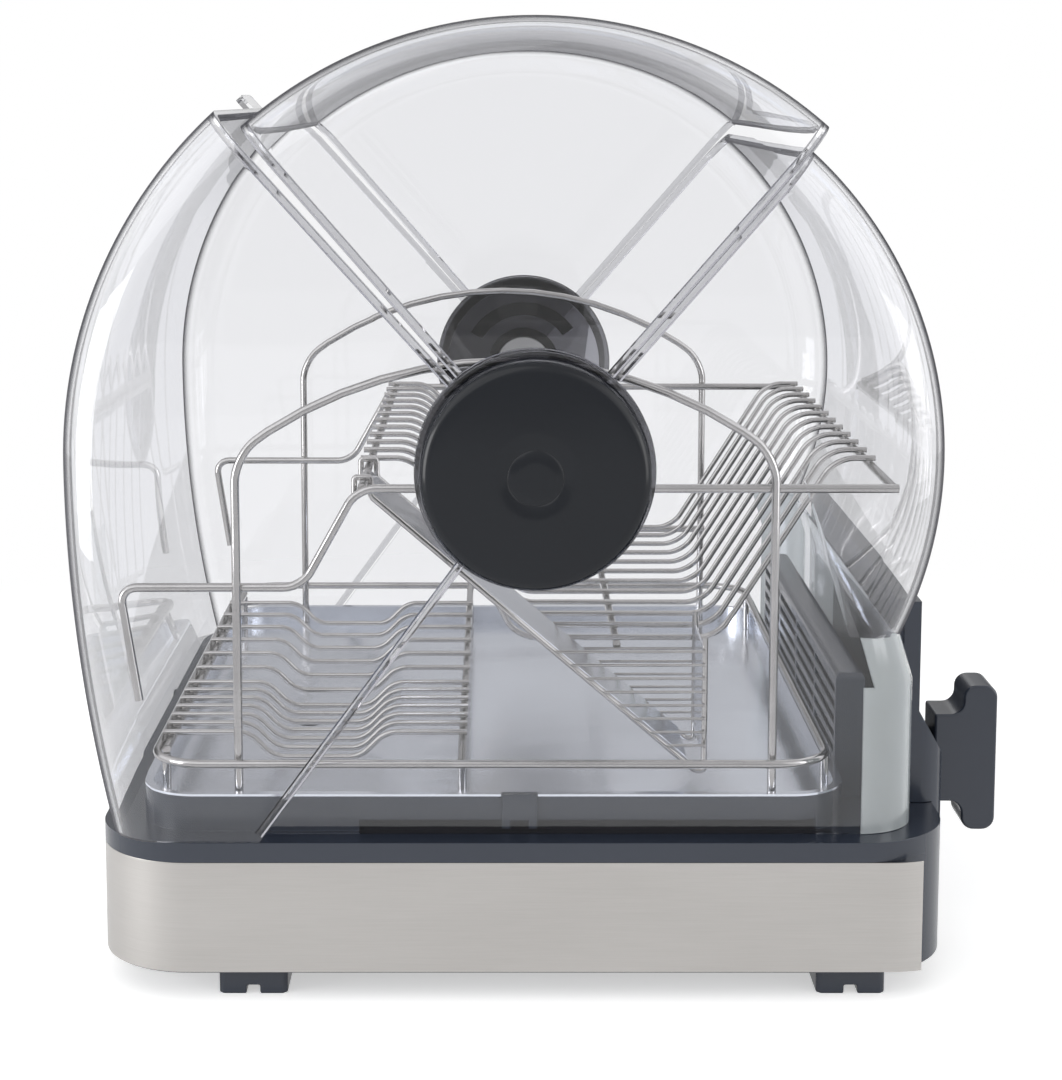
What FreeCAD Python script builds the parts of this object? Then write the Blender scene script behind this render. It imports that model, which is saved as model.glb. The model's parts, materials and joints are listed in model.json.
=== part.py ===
import FreeCAD, Part
import math
import os

os.makedirs("parts", exist_ok=True)
V = FreeCAD.Vector

# Countertop dish sterilizer: a low base with blower, heater and water drawer, a clear
# rear cover, and two clear lids that nest over it as they turn about one hub axis.
# Millimetres. X runs along the hub axis, -Y is the front, Z is up, the feet stand on Z 0.

# ---- Clearances ----
gap = 0.3            # between pieces that move against each other
run_fit = 0.05       # radial, of a pin in its bore
slide_fit = 0.6      # round the water drawer

# ---- Hub and covers ----
hub_y = -7.0
hub_rise = 166.5     # hub axis above the ledge
wall = 2.5           # of the clear mouldings
rear_radius = 184.0
rear_half = 196.0
nest_step = 12.25    # each cover is this much larger in radius than the one inside it
top_side_step = 5.0
front_side_step = 7.0
rim_round = 25.0     # between the round wall and the side walls
rim_steps = 2        # flats round that turn
rear_front_angle = 233.8   # degrees about the hub, from the back towards the top
rear_top_angle = 49.0
top_front_angle = 131.0
lid_parting = 1.0
bead_width = 4.0     # thicker strip along an opening edge
bead_depth = 4.0
bead_side = 1.0
skirt_reach = 172.0  # rear wall behind the hub
skirt_rise = 67.0    # of the upright rear wall above the ledge
skirt_lean = 0.3     # run over rise of the leaning strip above it
bow_radius = 730.0   # of the front lid below the hub
boss_radius = 52.5
boss_lip = 2.5       # of the boss beyond the cap
boss_height = 1.5
tab_width = 44.0     # finger tab on the front lid
tab_reach = 9.0
vent_columns = 7
vent_width = 4.0
vent_pitch = 21.0
vent_inset = 36.0    # first slot from the middle
vent_rows = ((-3.0, -12.0), (-14.5, -22.5))   # degrees about the hub

# ---- Hub pins and caps ----
pin_radius = 9.0
pin_head_radius = 16.0
pin_head = 3.0
washer_radius = 15.0
cap_stand = 18.0     # outer face beyond the front lid
cap_wall = 2.5
cap_round = 5.0

# ---- Base ----
foot_height = 14.0
foot_length = 31.0
foot_width = 26.0
notch_length = 6.0
notch_height = 4.0
foot_front = 70.0    # foot centre behind the front of the base
foot_back = 44.0     # foot centre ahead of the back of the base
foot_inset = 24.0    # foot centre inside the side of the base
pan_wall = 3.0
base_corner = 42.0
ledge_lip = 7.0      # base beyond the front lid
back_lip = 15.0      # base beyond the rear wall
band_lift = 0.5
band_height = 50.5
band_sheet = 0.8
band_stop = 14.0     # band ends this far ahead of the back
ledge_height = 9.0
rim_height = 16.0
rim_wall = 3.0
rim_inset = 18.0     # raised rim inside the ledge
rim_back = 45.0      # raised rim ahead of the back of the base
rim_corner = 26.0
slot_height = 5.0    # dark slot at the foot of the raised rim
slot_front = 118.0   # from the front of the base
slot_length = 212.0
catch_width = 16.0
catch_height = 15.0
catch_front = 182.0

# ---- Drain tray ----
tray_sheet = 1.0
tray_depth = 8.5
tray_corner = 22.0
spout_radius = 8.0
spout_drop = 14.0
spout_front = 84.0

# ---- Water drawer ----
drawer_apart = 19.0  # from the timer panel
drawer_width = 225.0
drawer_lift = 8.0    # underside above the pan floor
drawer_height = 30.0
drawer_length = 142.0
drawer_wall = 2.0
face_thick = 3.0
face_stand = 0.8     # drawer face beyond the band
face_margin = 3.0
grip_width = 70.0
grip_height = 9.0

# ---- Timer and panel ----
panel_inset = 84.0   # panel centre inside the left side
panel_width = 70.0
panel_height = 38.0
panel_thick = 3.0
timer_side = 36.0
timer_depth = 26.0
knob_radius = 15.0
knob_length = 11.0
shaft_radius = 3.0
lamp_radius = 3.0
lamp_side = 24.0
lamp_up = 12.0

# ---- Blower and heater ----
fan_y = 50.0
blade_margin = 1.0   # of the blades inside the ring
wheel_radius = 38.0
wheel_inner = 29.0
wheel_height = 26.0
wheel_gap = 4.0
wheel_plate = 1.6
blades = 12
blade_thick = 1.2
blade_lean = 35.0    # degrees
fan_shaft = 2.5
motor_radius = 18.0
motor_height = 12.0
scroll_wall = 2.0
scroll_radius = 50.0
throat_width = 44.0
heater_length = 14.0
heater_fins = 8
fin_thick = 1.0
duct_length = 24.0
thermostat_radius = 7.0
thermostat_height = 5.0
intake_slots = 7
intake_width = 4.0
intake_pitch = 9.0

# ---- Air outlet behind the tray ----
outlet_half = 140.0
outlet_depth = 14.0
outlet_rise = 44.0
outlet_wall = 2.0
outlet_slots = 5
outlet_slot = 3.5
outlet_bars = 3

# ---- Rear housing ----
housing_half = 150.0
housing_back = 6.0   # beyond the base
housing_neck = 8.0   # thickness of the upper part, behind the rear wall
housing_shoulder = 21.0
housing_slope = 23.0
housing_top = 96.0   # above the ledge
housing_round = 12.0
louvres = 11
louvre_width = 4.0
louvre_pitch = 14.0
louvre_height = 34.0
hook_x = 110.0
hook_width = 26.0
hook_stem = 13.5
hook_stem_height = 43.0
hook_low = 66.0
hook_plate = 16.0
hook_plate_height = 71.0
hook_round = 4.0
gland_x = -58.0
gland_z = 32.0
gland_radius = 8.0
gland_bore = 3.6
gland_length = 9.0

# ---- Racks ----
frame_wire = 2.0     # radius of the stout wire
plate_wire = 1.4     # radius of the thin wire
wire_sides = 8       # flats round a wire
bend_step = 45.0     # degrees of a bend to each flat
weld = 0.02          # wires lie this close where they are welded
rack_side = 11.5     # hoop centre inside the rear cover's wall
hoop_front = -133.0  # from the hub axis
hoop_back = 107.6
hoop_shoulder = 3.0  # above the hub axis
hoop_crown = 45.0    # above the hub axis
hoop_bend = 12.0
arch_steps = 14
rail_drop = 12.5     # plate rail below the hub axis
rail_front = -79.0
rail_back = 163.0
step_front = -104.0
step_drop = 45.0     # lower front rail below the plate rail
rail_nose = -186.0
nose_drop = 52.0
nose_back = 8.0
rail_bend = 8.0
plate_pitch = 25.4
plate_first = 10.0   # first plate wire inside the left rail
plate_lip = 24.0
plate_floor = 87.0   # lowest run below the plate rail
plate_floor_front = -7.0
plate_floor_back = 89.0
plate_rise_back = 144.0
plate_bend = 9.0

# ---- Lower rack ----
low_level = 14.0     # rim above the raised rim
low_front = 24.0     # rim behind the front of the base
low_back = 53.0
low_side = 21.0
low_corner = 24.0
low_rail = 140.0     # inner rail behind the front rim
cradle_wide = 30.0
cradle_narrow = 15.0
cradle_wide_count = 7
cradle_narrow_count = 6
cradle_first = 64.0
cradle_dip = 12.0
cradle_start = 40.0
cradle_length = 64.0
cradle_bend = 8.0

# ---- Cutlery holder ----
cup_width = 52.0     # over its outer frame
cup_apart = 4.5      # least distance to the last plate wire
cup_side = 12.0      # outer frame inside the hoop
cup_floor = 22.0     # lowest point above the ledge
cup_back = 76.0      # back wall behind the hub axis
cup_top = 78.0       # top wire above the ledge
cup_wires = 8
cup_hook = 6.0
chute_sheet = 1.0

# ---- Derived levels and outlines ----
top_radius = rear_radius + nest_step
front_radius = top_radius + nest_step
top_half = rear_half + top_side_step
front_half = top_half + front_side_step
pan_bottom = foot_height
pan_floor = pan_bottom + pan_wall
band_bottom = pan_bottom + band_lift
band_top = band_bottom + band_height
ledge_top = band_top + ledge_height
rim_top = ledge_top + rim_height
hub_z = ledge_top + hub_rise
cover_foot = ledge_top + gap
foot_drop = hub_z - cover_foot
lid_foot_y = hub_y - front_radius + bow_radius - math.sqrt(bow_radius ** 2 - foot_drop ** 2)
skirt_y = hub_y + skirt_reach
base_half = front_half
panel_x = -base_half + panel_inset
drawer_left = panel_x + panel_width / 2 + drawer_apart
base_front = lid_foot_y - ledge_lip
base_back = skirt_y + back_lip
rim_half = base_half - rim_inset
rim_front = base_front + rim_inset
rim_rear = base_back - rim_back
tray_half = rim_half - rim_wall - gap
tray_front = rim_front + rim_wall + gap
tray_rear = rim_rear - rim_wall - gap
tray_top = rim_top + tray_sheet
tray_floor = tray_top - tray_depth
inner_half = base_half - band_sheet
hoop_x = rear_half - wall - rack_side
rail_x = hoop_x - 2 * frame_wire - weld
rail_z = hub_z - rail_drop
FAR = 2 * (front_radius + base_half)


# ---- Helpers ----
def save(name, *solids):
    """Writes one node, with faces that lie in one surface joined."""
    solids = [solid.removeSplitter() for solid in solids]
    shape = solids[0] if len(solids) == 1 else Part.makeCompound(solids)
    shape.exportStep("parts/" + name + ".step")


def block(x0, x1, y0, y1, z0, z1):
    return Part.makeBox(x1 - x0, y1 - y0, z1 - z0, V(x0, y0, z0))


def rod(radius, start, end):
    axis = end - start
    return Part.makeCylinder(radius, axis.Length, start, axis)


def tube(outer, inner, start, end):
    return rod(outer, start, end).cut(rod(inner, start, end))


def slab(half, y0, y1, corner, z0, z1):
    """Flat plate with four rounded upright corners."""
    body = block(-half, half, y0, y1, z0, z1)
    upright = [e for e in body.Edges if abs(e.tangentAt(e.FirstParameter).z) > 0.9]
    return body.makeFillet(corner, upright)


def ring_wall(half, y0, y1, corner, thick, z0, z1):
    inner = slab(half - thick, y0 + thick, y1 - thick, corner - thick, z0, z1)
    return slab(half, y0, y1, corner, z0, z1).cut(inner)


def side_prism(points, half, start=None):
    """Extrudes an outline of (y, z) points along X."""
    x0 = -half if start is None else start
    face = Part.Face(Part.makePolygon([V(x0, y, z) for y, z in points + points[:1]]))
    return face.extrude(V(2 * half, 0, 0))


def rounded(body, radius, chosen):
    return body.makeFillet(radius, [e for e in body.Edges if chosen(e)])


def mirrored(shape):
    return shape.mirror(V(0, 0, 0), V(1, 0, 0))


def around(angle, radius, x=0.0):
    """Point at an angle about the hub, from the back towards the top."""
    turn = math.radians(angle)
    return V(x, hub_y + radius * math.cos(turn), hub_z + radius * math.sin(turn))


def swept(points, side, radius, closed=False):
    """Solid wire of flat facets through points of one plane, mitred at each of them."""
    corner = radius / math.cos(math.pi / wire_sides)
    turns = [(2 * i + 1) * math.pi / wire_sides for i in range(wire_sides)]
    rings = []
    for i, point in enumerate(points):
        following = points[(i + 1) % len(points)] if closed or i < len(points) - 1 else None
        back = (point - points[i - 1]).normalize() if closed or i else None
        ahead = (following - point).normalize() if following is not None else back
        back = back or ahead
        run = (ahead + back).normalize()
        across = run.cross(side).normalize() / run.dot(ahead)
        rings.append([point + side * (corner * math.cos(t)) + across * (corner * math.sin(t))
                      for t in turns])
    pairs = list(zip(rings, rings[1:] + rings[:1] if closed else rings[1:]))
    outlines = [[low[k - 1], low[k], high[k], high[k - 1]] for low, high in pairs
                for k in range(wire_sides)]
    if not closed:
        outlines += [rings[0], rings[-1]]
    shell = Part.makeShell([Part.Face(Part.makePolygon(o + o[:1])) for o in outlines])
    shell.sewShape()
    solid = Part.makeSolid(shell)
    if solid.Volume < 0:
        solid.reverse()
    return solid


def straight_wire(radius, start, end):
    along = end - start
    side = V(1, 0, 0) if abs(along.z) > abs(along.x) + abs(along.y) else V(0, 0, 1)
    return swept([start, end], side, radius)


def bend_points(before, corner, after, bend):
    """Points on a round bend of the given radius, from one run to the next."""
    back = (before - corner).normalize()
    ahead = (after - corner).normalize()
    half_turn = back.getAngle(ahead) / 2
    centre = corner + (back + ahead).normalize() * (bend / math.sin(half_turn))
    start = corner + back * (bend / math.tan(half_turn))
    end = corner + ahead * (bend / math.tan(half_turn))
    steps = max(1, round((math.pi - 2 * half_turn) / math.radians(bend_step)))
    return arc_points(centre, start, end, steps)


def arc_points(centre, start, end, steps):
    first, last = start - centre, end - centre
    turn = first.getAngle(last)
    across = (last - first * math.cos(turn)) / math.sin(turn)
    angles = [turn * i / steps for i in range(steps + 1)]
    return [centre + first * math.cos(a) + across * math.sin(a) for a in angles]


def bent_wire(points, bend, radius, side=V(1, 0, 0)):
    """Wire in one plane, with straight runs joined by tangent bends."""
    path = [points[0]]
    for before, corner, after in zip(points, points[1:], points[2:]):
        path += bend_points(before, corner, after, bend)
    return swept(path + [points[-1]], side, radius)


# ---- Clear covers ----
def rim_points(reach, half, corner):
    """Half outline across a cover: side walls and a rounded turn into the round wall."""
    points = []
    for i in range(rim_steps + 1):
        turn = math.pi / 2 * i / rim_steps
        points.append((half - corner + corner * math.cos(turn), reach - corner + corner * math.sin(turn)))
    return points + [(-x, y) for x, y in reversed(points)]


def barrel(radius, half, corner, centre_y=hub_y):
    """Drum along X with rounded rims."""
    outline = [(half, 0)] + rim_points(radius, half, corner) + [(-half, 0)]
    corners = [V(x, centre_y + y, hub_z) for x, y in outline]
    face = Part.Face(Part.makePolygon(corners + corners[:1]))
    return face.revolve(V(0, centre_y, hub_z), V(1, 0, 0), 360)


def sector(start, end):
    """Pie slice about the hub, wide enough to trim any cover."""
    steps = 4
    rays = [around(start + (end - start) * i / steps, FAR) for i in range(steps + 1)]
    points = [(hub_y, hub_z)] + [(p.y, p.z) for p in rays]
    return side_prism(points, front_half + boss_height)


def edge_strip(angle, inward):
    """Slab along one opening edge; inward is +1 or -1 for the side the cover lies on."""
    strip = block(-front_half, front_half, boss_radius, FAR, min(0, inward * bead_width),
                  max(0, inward * bead_width))
    strip.rotate(V(0, 0, 0), V(1, 0, 0), angle)
    strip.translate(V(0, hub_y, hub_z))
    return strip


def shell_between(form, start, end, strips):
    """Hollow cover trimmed to its sector, with the given opening edges thickened."""
    skin = form(0, 0).cut(form(wall, wall))
    bead = form(0, 0).cut(form(wall + bead_depth, wall + bead_side))
    return skin.fuse([bead.common(strip) for strip in strips]).common(sector(start, end))


def hub_discs(half, height=0.0):
    disc = rod(boss_radius, V(half - wall, hub_y, hub_z), V(half + height, hub_y, hub_z))
    return disc.fuse(mirrored(disc))


def hub_bore(half):
    return rod(pin_radius + run_fit, V(-half - boss_height, hub_y, hub_z),
               V(half + boss_height, hub_y, hub_z))


def trim_foot(cover):
    below = block(-FAR, FAR, -FAR, FAR, -FAR, cover_foot)
    return cover.cut(below)


def rear_form(inset, side):
    """Drum with an upright rear wall below it and a strip that leans back to the drum."""
    drum = barrel(rear_radius - inset, rear_half - side, rim_round - inset)
    front = hub_y - rear_radius
    knee = ledge_top + skirt_rise
    outline = rim_points(skirt_y - inset, rear_half - side, rim_round - inset)
    outline += [(-rear_half + side, front), (rear_half - side, front)]
    low = Part.Face(Part.makePolygon([V(x, y, band_bottom) for x, y in outline + outline[:1]]))
    high = Part.Face(Part.makePolygon([V(x, y, knee) for x, y in outline + outline[:1]]))
    rise = hub_z - knee
    strip = high.extrude(V(0, -skirt_lean * rise, rise))
    return drum.fuse([low.extrude(V(0, 0, knee - band_bottom)), strip])


def vent_slots():
    slots = []
    for high, low in vent_rows:
        top, bottom = around(high, rear_radius).z, around(low, rear_radius).z
        for i in range(vent_columns):
            x = vent_inset + i * vent_pitch
            slot = block(x, x + vent_width, hub_y, skirt_y + rim_round, bottom, top)
            slots += [slot, mirrored(slot)]
    return Part.makeCompound(slots)


def rear_cover():
    cover = shell_between(rear_form, rear_front_angle, 360 + rear_top_angle,
                          [edge_strip(rear_top_angle, -1)])
    cover = trim_foot(cover).fuse(hub_discs(rear_half))
    return cover.cut(hub_bore(rear_half)).cut(vent_slots())


def top_lid():
    def form(inset, side):
        return barrel(top_radius - inset, top_half - side, rim_round - inset)
    cover = shell_between(form, rear_top_angle, top_front_angle,
                          [edge_strip(rear_top_angle, 1), edge_strip(top_front_angle, -1)])
    return cover.fuse(hub_discs(top_half)).cut(hub_bore(top_half))


def front_form(inset, side):
    """Drum whose front runs down from the hub's level in a much wider bow."""
    drum = barrel(front_radius - inset, front_half - side, rim_round - inset)
    bow = barrel(bow_radius - inset, front_half - side, rim_round - inset,
                 hub_y - front_radius + bow_radius)
    return drum.fuse(bow.common(block(-FAR, FAR, -FAR, hub_y, band_bottom, hub_z)))


def front_lid():
    start = top_front_angle + lid_parting
    cover = shell_between(front_form, start, rear_front_angle,
                          [edge_strip(start, 1), edge_strip(rear_front_angle, -1)])
    tab = block(-tab_width / 2, tab_width / 2, front_radius - wall, front_radius + tab_reach,
                -bead_width, 0)
    tab = rounded(tab, tab_reach / 2, lambda e: e.Vertexes[0].Y > front_radius
                  and abs(e.tangentAt(e.FirstParameter).z) > 0.9)
    tab.translate(V(0, 0, bead_width))
    tab.rotate(V(0, 0, 0), V(1, 0, 0), start)
    tab.translate(V(0, hub_y, hub_z))
    return trim_foot(cover).fuse([hub_discs(front_half, boss_height), tab]).cut(hub_bore(front_half))


# ---- Hub pins, washers and caps ----
pin_start = rear_half - wall - pin_head
cap_face = front_half + cap_stand
pin_end = cap_face - cap_wall
cap_radius = boss_radius - boss_lip


def hub_point(x):
    return V(x, hub_y, hub_z)


def hub_pin():
    head = rod(pin_head_radius, hub_point(pin_start), hub_point(pin_start + pin_head))
    return head.fuse(rod(pin_radius, hub_point(pin_start), hub_point(pin_end)))


def hub_washers():
    """Spacers between the two lids."""
    ring = tube(washer_radius, pin_radius + run_fit, hub_point(top_half + gap),
                hub_point(front_half - wall - gap))
    return ring, mirrored(ring)


def turned(profile):
    """Revolves an outline of (x, radius) points about the hub axis."""
    corners = [V(x, hub_y + r, hub_z) for x, r in profile]
    face = Part.Face(Part.makePolygon(corners + corners[:1]))
    return face.revolve(V(0, hub_y, hub_z), V(1, 0, 0), 360)


def hub_cap():
    start = front_half + boss_height + gap
    back = cap_face - cap_wall
    bore = pin_radius + run_fit
    cap = turned([(start, cap_radius), (cap_face - cap_round, cap_radius), (cap_face, cap_radius - cap_round),
                  (cap_face, 0), (back, 0), (back, cap_radius - cap_wall), (start, cap_radius - cap_wall)])
    return cap.fuse(tube(bore + cap_wall, bore, hub_point(start), hub_point(back)))


# ---- Base ----
drawer_right = drawer_left + drawer_width
drawer_bottom = pan_floor + drawer_lift
drawer_top = drawer_bottom + drawer_height
drawer_front = base_front + face_thick - face_stand
drawer_back = drawer_front + drawer_length
panel_middle = (band_bottom + band_top) / 2
panel_z0 = panel_middle - panel_height / 2
panel_z1 = panel_middle + panel_height / 2


def front_windows(margin):
    """Openings in the front wall for the drawer and the timer panel."""
    drawer = block(drawer_left - margin, drawer_right + margin, base_front - ledge_lip,
                   base_front + 2 * base_corner, drawer_bottom - margin, drawer_top + margin)
    panel = block(panel_x - panel_width / 2 - margin, panel_x + panel_width / 2 + margin,
                  base_front - ledge_lip, base_front + base_corner, panel_z0 - margin, panel_z1 + margin)
    return drawer.fuse(panel)


def base_pan():
    pan = slab(inner_half, base_front + band_sheet, base_back, base_corner - band_sheet,
               pan_bottom, band_top)
    cavity = slab(inner_half - pan_wall, base_front + band_sheet + pan_wall, base_back - pan_wall,
                  base_corner - band_sheet - pan_wall, pan_floor, band_top)
    pan = pan.cut(cavity)
    for x in (drawer_left + drawer_wall, drawer_right - 2 * pan_wall - drawer_wall):
        runner = block(x, x + 2 * pan_wall, base_front + 2 * pan_wall, drawer_back,
                       pan_floor, drawer_bottom - gap)
        pan = pan.fuse(runner)
    pan = pan.cut(front_windows(slide_fit + face_margin))
    first = -(intake_slots - 1) / 2
    for i in range(intake_slots):
        x = (first + i) * intake_pitch
        pan = pan.cut(block(x - intake_width / 2, x + intake_width / 2, fan_y - wheel_inner,
                            fan_y + wheel_inner, pan_bottom, pan_floor))
    return pan.cut(gland_hole(gland_bore))


def steel_band():
    band = ring_wall(base_half, base_front, base_back + band_stop, base_corner, band_sheet,
                     band_bottom, band_top)
    band = band.cut(block(-FAR, FAR, base_back - band_stop, FAR, 0, FAR))
    return band.cut(front_windows(slide_fit + face_margin))


def feet():
    blocks = []
    for x in (-base_half + foot_inset, base_half - foot_inset):
        for y in (base_front + foot_front, base_back - foot_back):
            foot = block(x - foot_width / 2, x + foot_width / 2, y - foot_length / 2,
                         y + foot_length / 2, 0, foot_height)
            upright = [e for e in foot.Edges if abs(e.tangentAt(e.FirstParameter).z) > 0.9]
            foot = foot.makeChamfer(notch_height / 2, upright)
            notch = block(x - foot_width, x + foot_width, y - notch_length / 2,
                          y + notch_length / 2, 0, notch_height)
            blocks.append(foot.cut(notch))
    return blocks


outlet_front = rim_rear + gap
outlet_back = outlet_front + outlet_depth
outlet_base = ledge_top
outlet_top = outlet_base + rim_height + outlet_rise
duct_back = outlet_back - outlet_wall
duct_front = duct_back - duct_length
throat_left = scroll_radius - throat_width
throat_right = scroll_radius
blower_floor = pan_floor + motor_height - scroll_wall
wheel_bottom = blower_floor + scroll_wall + wheel_gap
wheel_top = wheel_bottom + wheel_height
blower_top = wheel_top + wheel_gap + scroll_wall
scroll_front = duct_front - heater_length


def base_deck():
    ledge = slab(base_half, base_front, base_back, base_corner, band_top, ledge_top)
    well = slab(rim_half - 2 * rim_wall, rim_front + 2 * rim_wall, rim_rear - 2 * rim_wall,
                rim_corner - rim_wall, band_top, ledge_top)
    rim = ring_wall(rim_half, rim_front, rim_rear, rim_corner, rim_wall, ledge_top, rim_top)
    deck = ledge.cut(well).fuse(rim)
    slot = block(rim_half - rim_wall / 2, rim_half + rim_wall, base_front + slot_front,
                 base_front + slot_front + slot_length, ledge_top, ledge_top + slot_height)
    deck = deck.cut(slot).cut(mirrored(slot))
    airway = block(throat_left + outlet_wall, throat_right - outlet_wall,
                   outlet_front + outlet_wall, duct_back, band_top, ledge_top)
    return deck.cut(airway)


def side_catches():
    y = base_front + catch_front
    catch = block(rim_half, rim_half + rim_wall / 2, y, y + catch_width,
                  ledge_top + slot_height / 4, ledge_top + slot_height / 4 + catch_height)
    lip = block(rim_half - rim_wall, rim_half + rim_wall / 2, y, y + catch_width,
                rim_top, rim_top + tray_sheet)
    lug = catch.fuse(lip)
    window = block(rim_half, rim_half + rim_wall, y + catch_width / 4, y + 3 * catch_width / 4,
                   ledge_top + slot_height / 4, ledge_top + slot_height)
    lug = lug.cut(window)
    return lug, mirrored(lug)


# ---- Drain tray ----
spout_x = (drawer_left + drawer_right) / 2
spout_y = base_front + spout_front


def drain_tray():
    dish = slab(tray_half, tray_front, tray_rear, tray_corner, tray_floor - tray_sheet, tray_top)
    hollow = slab(tray_half - tray_sheet, tray_front + tray_sheet, tray_rear - tray_sheet,
                  tray_corner - tray_sheet, tray_floor, tray_top)
    lip = slab(rim_half, rim_front, rim_rear, rim_corner, rim_top, tray_top)
    inside = slab(tray_half, tray_front, tray_rear, tray_corner, rim_top, tray_top)
    spout = tube(spout_radius, spout_radius - tray_sheet, V(spout_x, spout_y, tray_floor - spout_drop),
                 V(spout_x, spout_y, tray_floor))
    tray = dish.cut(hollow).fuse(lip.cut(inside))
    y = base_front + catch_front
    notch = block(rim_half - rim_wall - gap, rim_half, y - gap, y + catch_width + gap, rim_top, tray_top)
    tray = tray.cut(notch).cut(mirrored(notch))
    hole = rod(spout_radius - tray_sheet, V(spout_x, spout_y, tray_floor - spout_drop),
               V(spout_x, spout_y, tray_top))
    return tray.fuse(spout).cut(hole)


# ---- Water drawer ----
def drawer_tray():
    box = block(drawer_left, drawer_right, drawer_front, drawer_back, drawer_bottom, drawer_top)
    box = rounded(box, 3 * drawer_wall, lambda e: abs(e.tangentAt(e.FirstParameter).z) > 0.9
                  and e.Vertexes[0].Y > drawer_front + drawer_wall)
    hollow = block(drawer_left + drawer_wall, drawer_right - drawer_wall, drawer_front + drawer_wall,
                   drawer_back - drawer_wall, drawer_bottom + drawer_wall, drawer_top)
    hollow = rounded(hollow, 2 * drawer_wall, lambda e: abs(e.tangentAt(e.FirstParameter).z) > 0.9)
    return box.cut(hollow)


def drawer_face():
    face = block(drawer_left - face_margin, drawer_right + face_margin, drawer_front - face_thick,
                 drawer_front, drawer_bottom - face_margin, drawer_top + face_margin)
    face = rounded(face, face_margin, lambda e: abs(e.tangentAt(e.FirstParameter).y) > 0.9)
    middle = (drawer_left + drawer_right) / 2
    grip = block(middle - grip_width / 2, middle + grip_width / 2, drawer_front - face_thick,
                 drawer_front - face_thick / 3, drawer_top - grip_height, drawer_top)
    grip = rounded(grip, grip_height / 3, lambda e: abs(e.tangentAt(e.FirstParameter).y) > 0.9)
    return face.cut(grip)


# ---- Timer panel ----
panel_front = base_front - band_lift
panel_back = panel_front + panel_thick
timer_mouth = panel_back + timer_depth


def control_panel():
    plate = block(panel_x - panel_width / 2, panel_x + panel_width / 2, panel_front, panel_back,
                  panel_z0, panel_z1)
    plate = rounded(plate, face_margin, lambda e: abs(e.tangentAt(e.FirstParameter).y) > 0.9)
    flange = block(panel_x - panel_width / 2 - 2 * face_margin, panel_x + panel_width / 2 + 2 * face_margin,
                   base_front + band_sheet + pan_wall, base_front + band_sheet + 2 * pan_wall,
                   panel_z0 - face_margin / 2, panel_z1 + face_margin / 2)
    core = block(panel_x - timer_side / 2, panel_x + timer_side / 2, panel_back,
                 base_front + band_sheet + 2 * pan_wall, panel_middle - timer_side / 2,
                 panel_middle + timer_side / 2)
    filler = block(panel_x - panel_width / 2, panel_x + panel_width / 2, panel_front + panel_thick / 2,
                   base_front + band_sheet + pan_wall, panel_z0, panel_z1)
    body = plate.fuse(filler).fuse(flange).cut(core)
    hole = rod(shaft_radius + run_fit, V(panel_x, panel_front, panel_middle),
               V(panel_x, timer_mouth, panel_middle))
    lamp = rod(lamp_radius + gap, V(panel_x + lamp_side, panel_front, panel_middle + lamp_up),
               V(panel_x + lamp_side, timer_mouth, panel_middle + lamp_up))
    return body.cut(hole).cut(lamp)


def timer_body():
    case = block(panel_x - timer_side / 2 + gap, panel_x + timer_side / 2 - gap, panel_back,
                 timer_mouth, panel_middle - timer_side / 2 + gap, panel_middle + timer_side / 2 - gap)
    bore = rod(shaft_radius + run_fit, V(panel_x, panel_back, panel_middle),
               V(panel_x, panel_back + timer_depth / 2, panel_middle))
    return case.cut(bore)


def timer_knob():
    front = panel_front - gap - knob_length
    body = rod(knob_radius, V(panel_x, front, panel_middle), V(panel_x, panel_front - gap, panel_middle))
    for side in (-1, 1):
        near = shaft_radius if side > 0 else -knob_radius
        scoop = block(panel_x + near, panel_x + near + knob_radius - shaft_radius, front,
                      front + knob_length / 2, panel_middle - knob_radius, panel_middle + knob_radius)
        body = body.cut(scoop)
    shaft = rod(shaft_radius, V(panel_x, front + knob_length / 2, panel_middle),
                V(panel_x, panel_back + timer_depth / 2 - gap, panel_middle))
    return body.fuse(shaft)


def pilot_lamp():
    x, z = panel_x + lamp_side, panel_middle + lamp_up
    stem = rod(lamp_radius, V(x, panel_front - lamp_radius / 2, z),
               V(x, base_front + band_sheet + 2 * pan_wall, z))
    foot = rod(lamp_radius + gap + lamp_radius / 2, V(x, base_front + band_sheet + 2 * pan_wall, z),
               V(x, base_front + band_sheet + 3 * pan_wall, z))
    return stem.fuse(foot)


# ---- Blower, heater and duct ----
def fan_point(z):
    return V(0, fan_y, z)


def fan_motor():
    can = rod(motor_radius, fan_point(pan_floor), fan_point(pan_floor + motor_height))
    return can.cut(rod(fan_shaft + run_fit, fan_point(pan_floor + scroll_wall),
                       fan_point(pan_floor + motor_height)))


def fan_spindle():
    return rod(fan_shaft, fan_point(pan_floor + scroll_wall + gap), fan_point(wheel_top))


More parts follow.
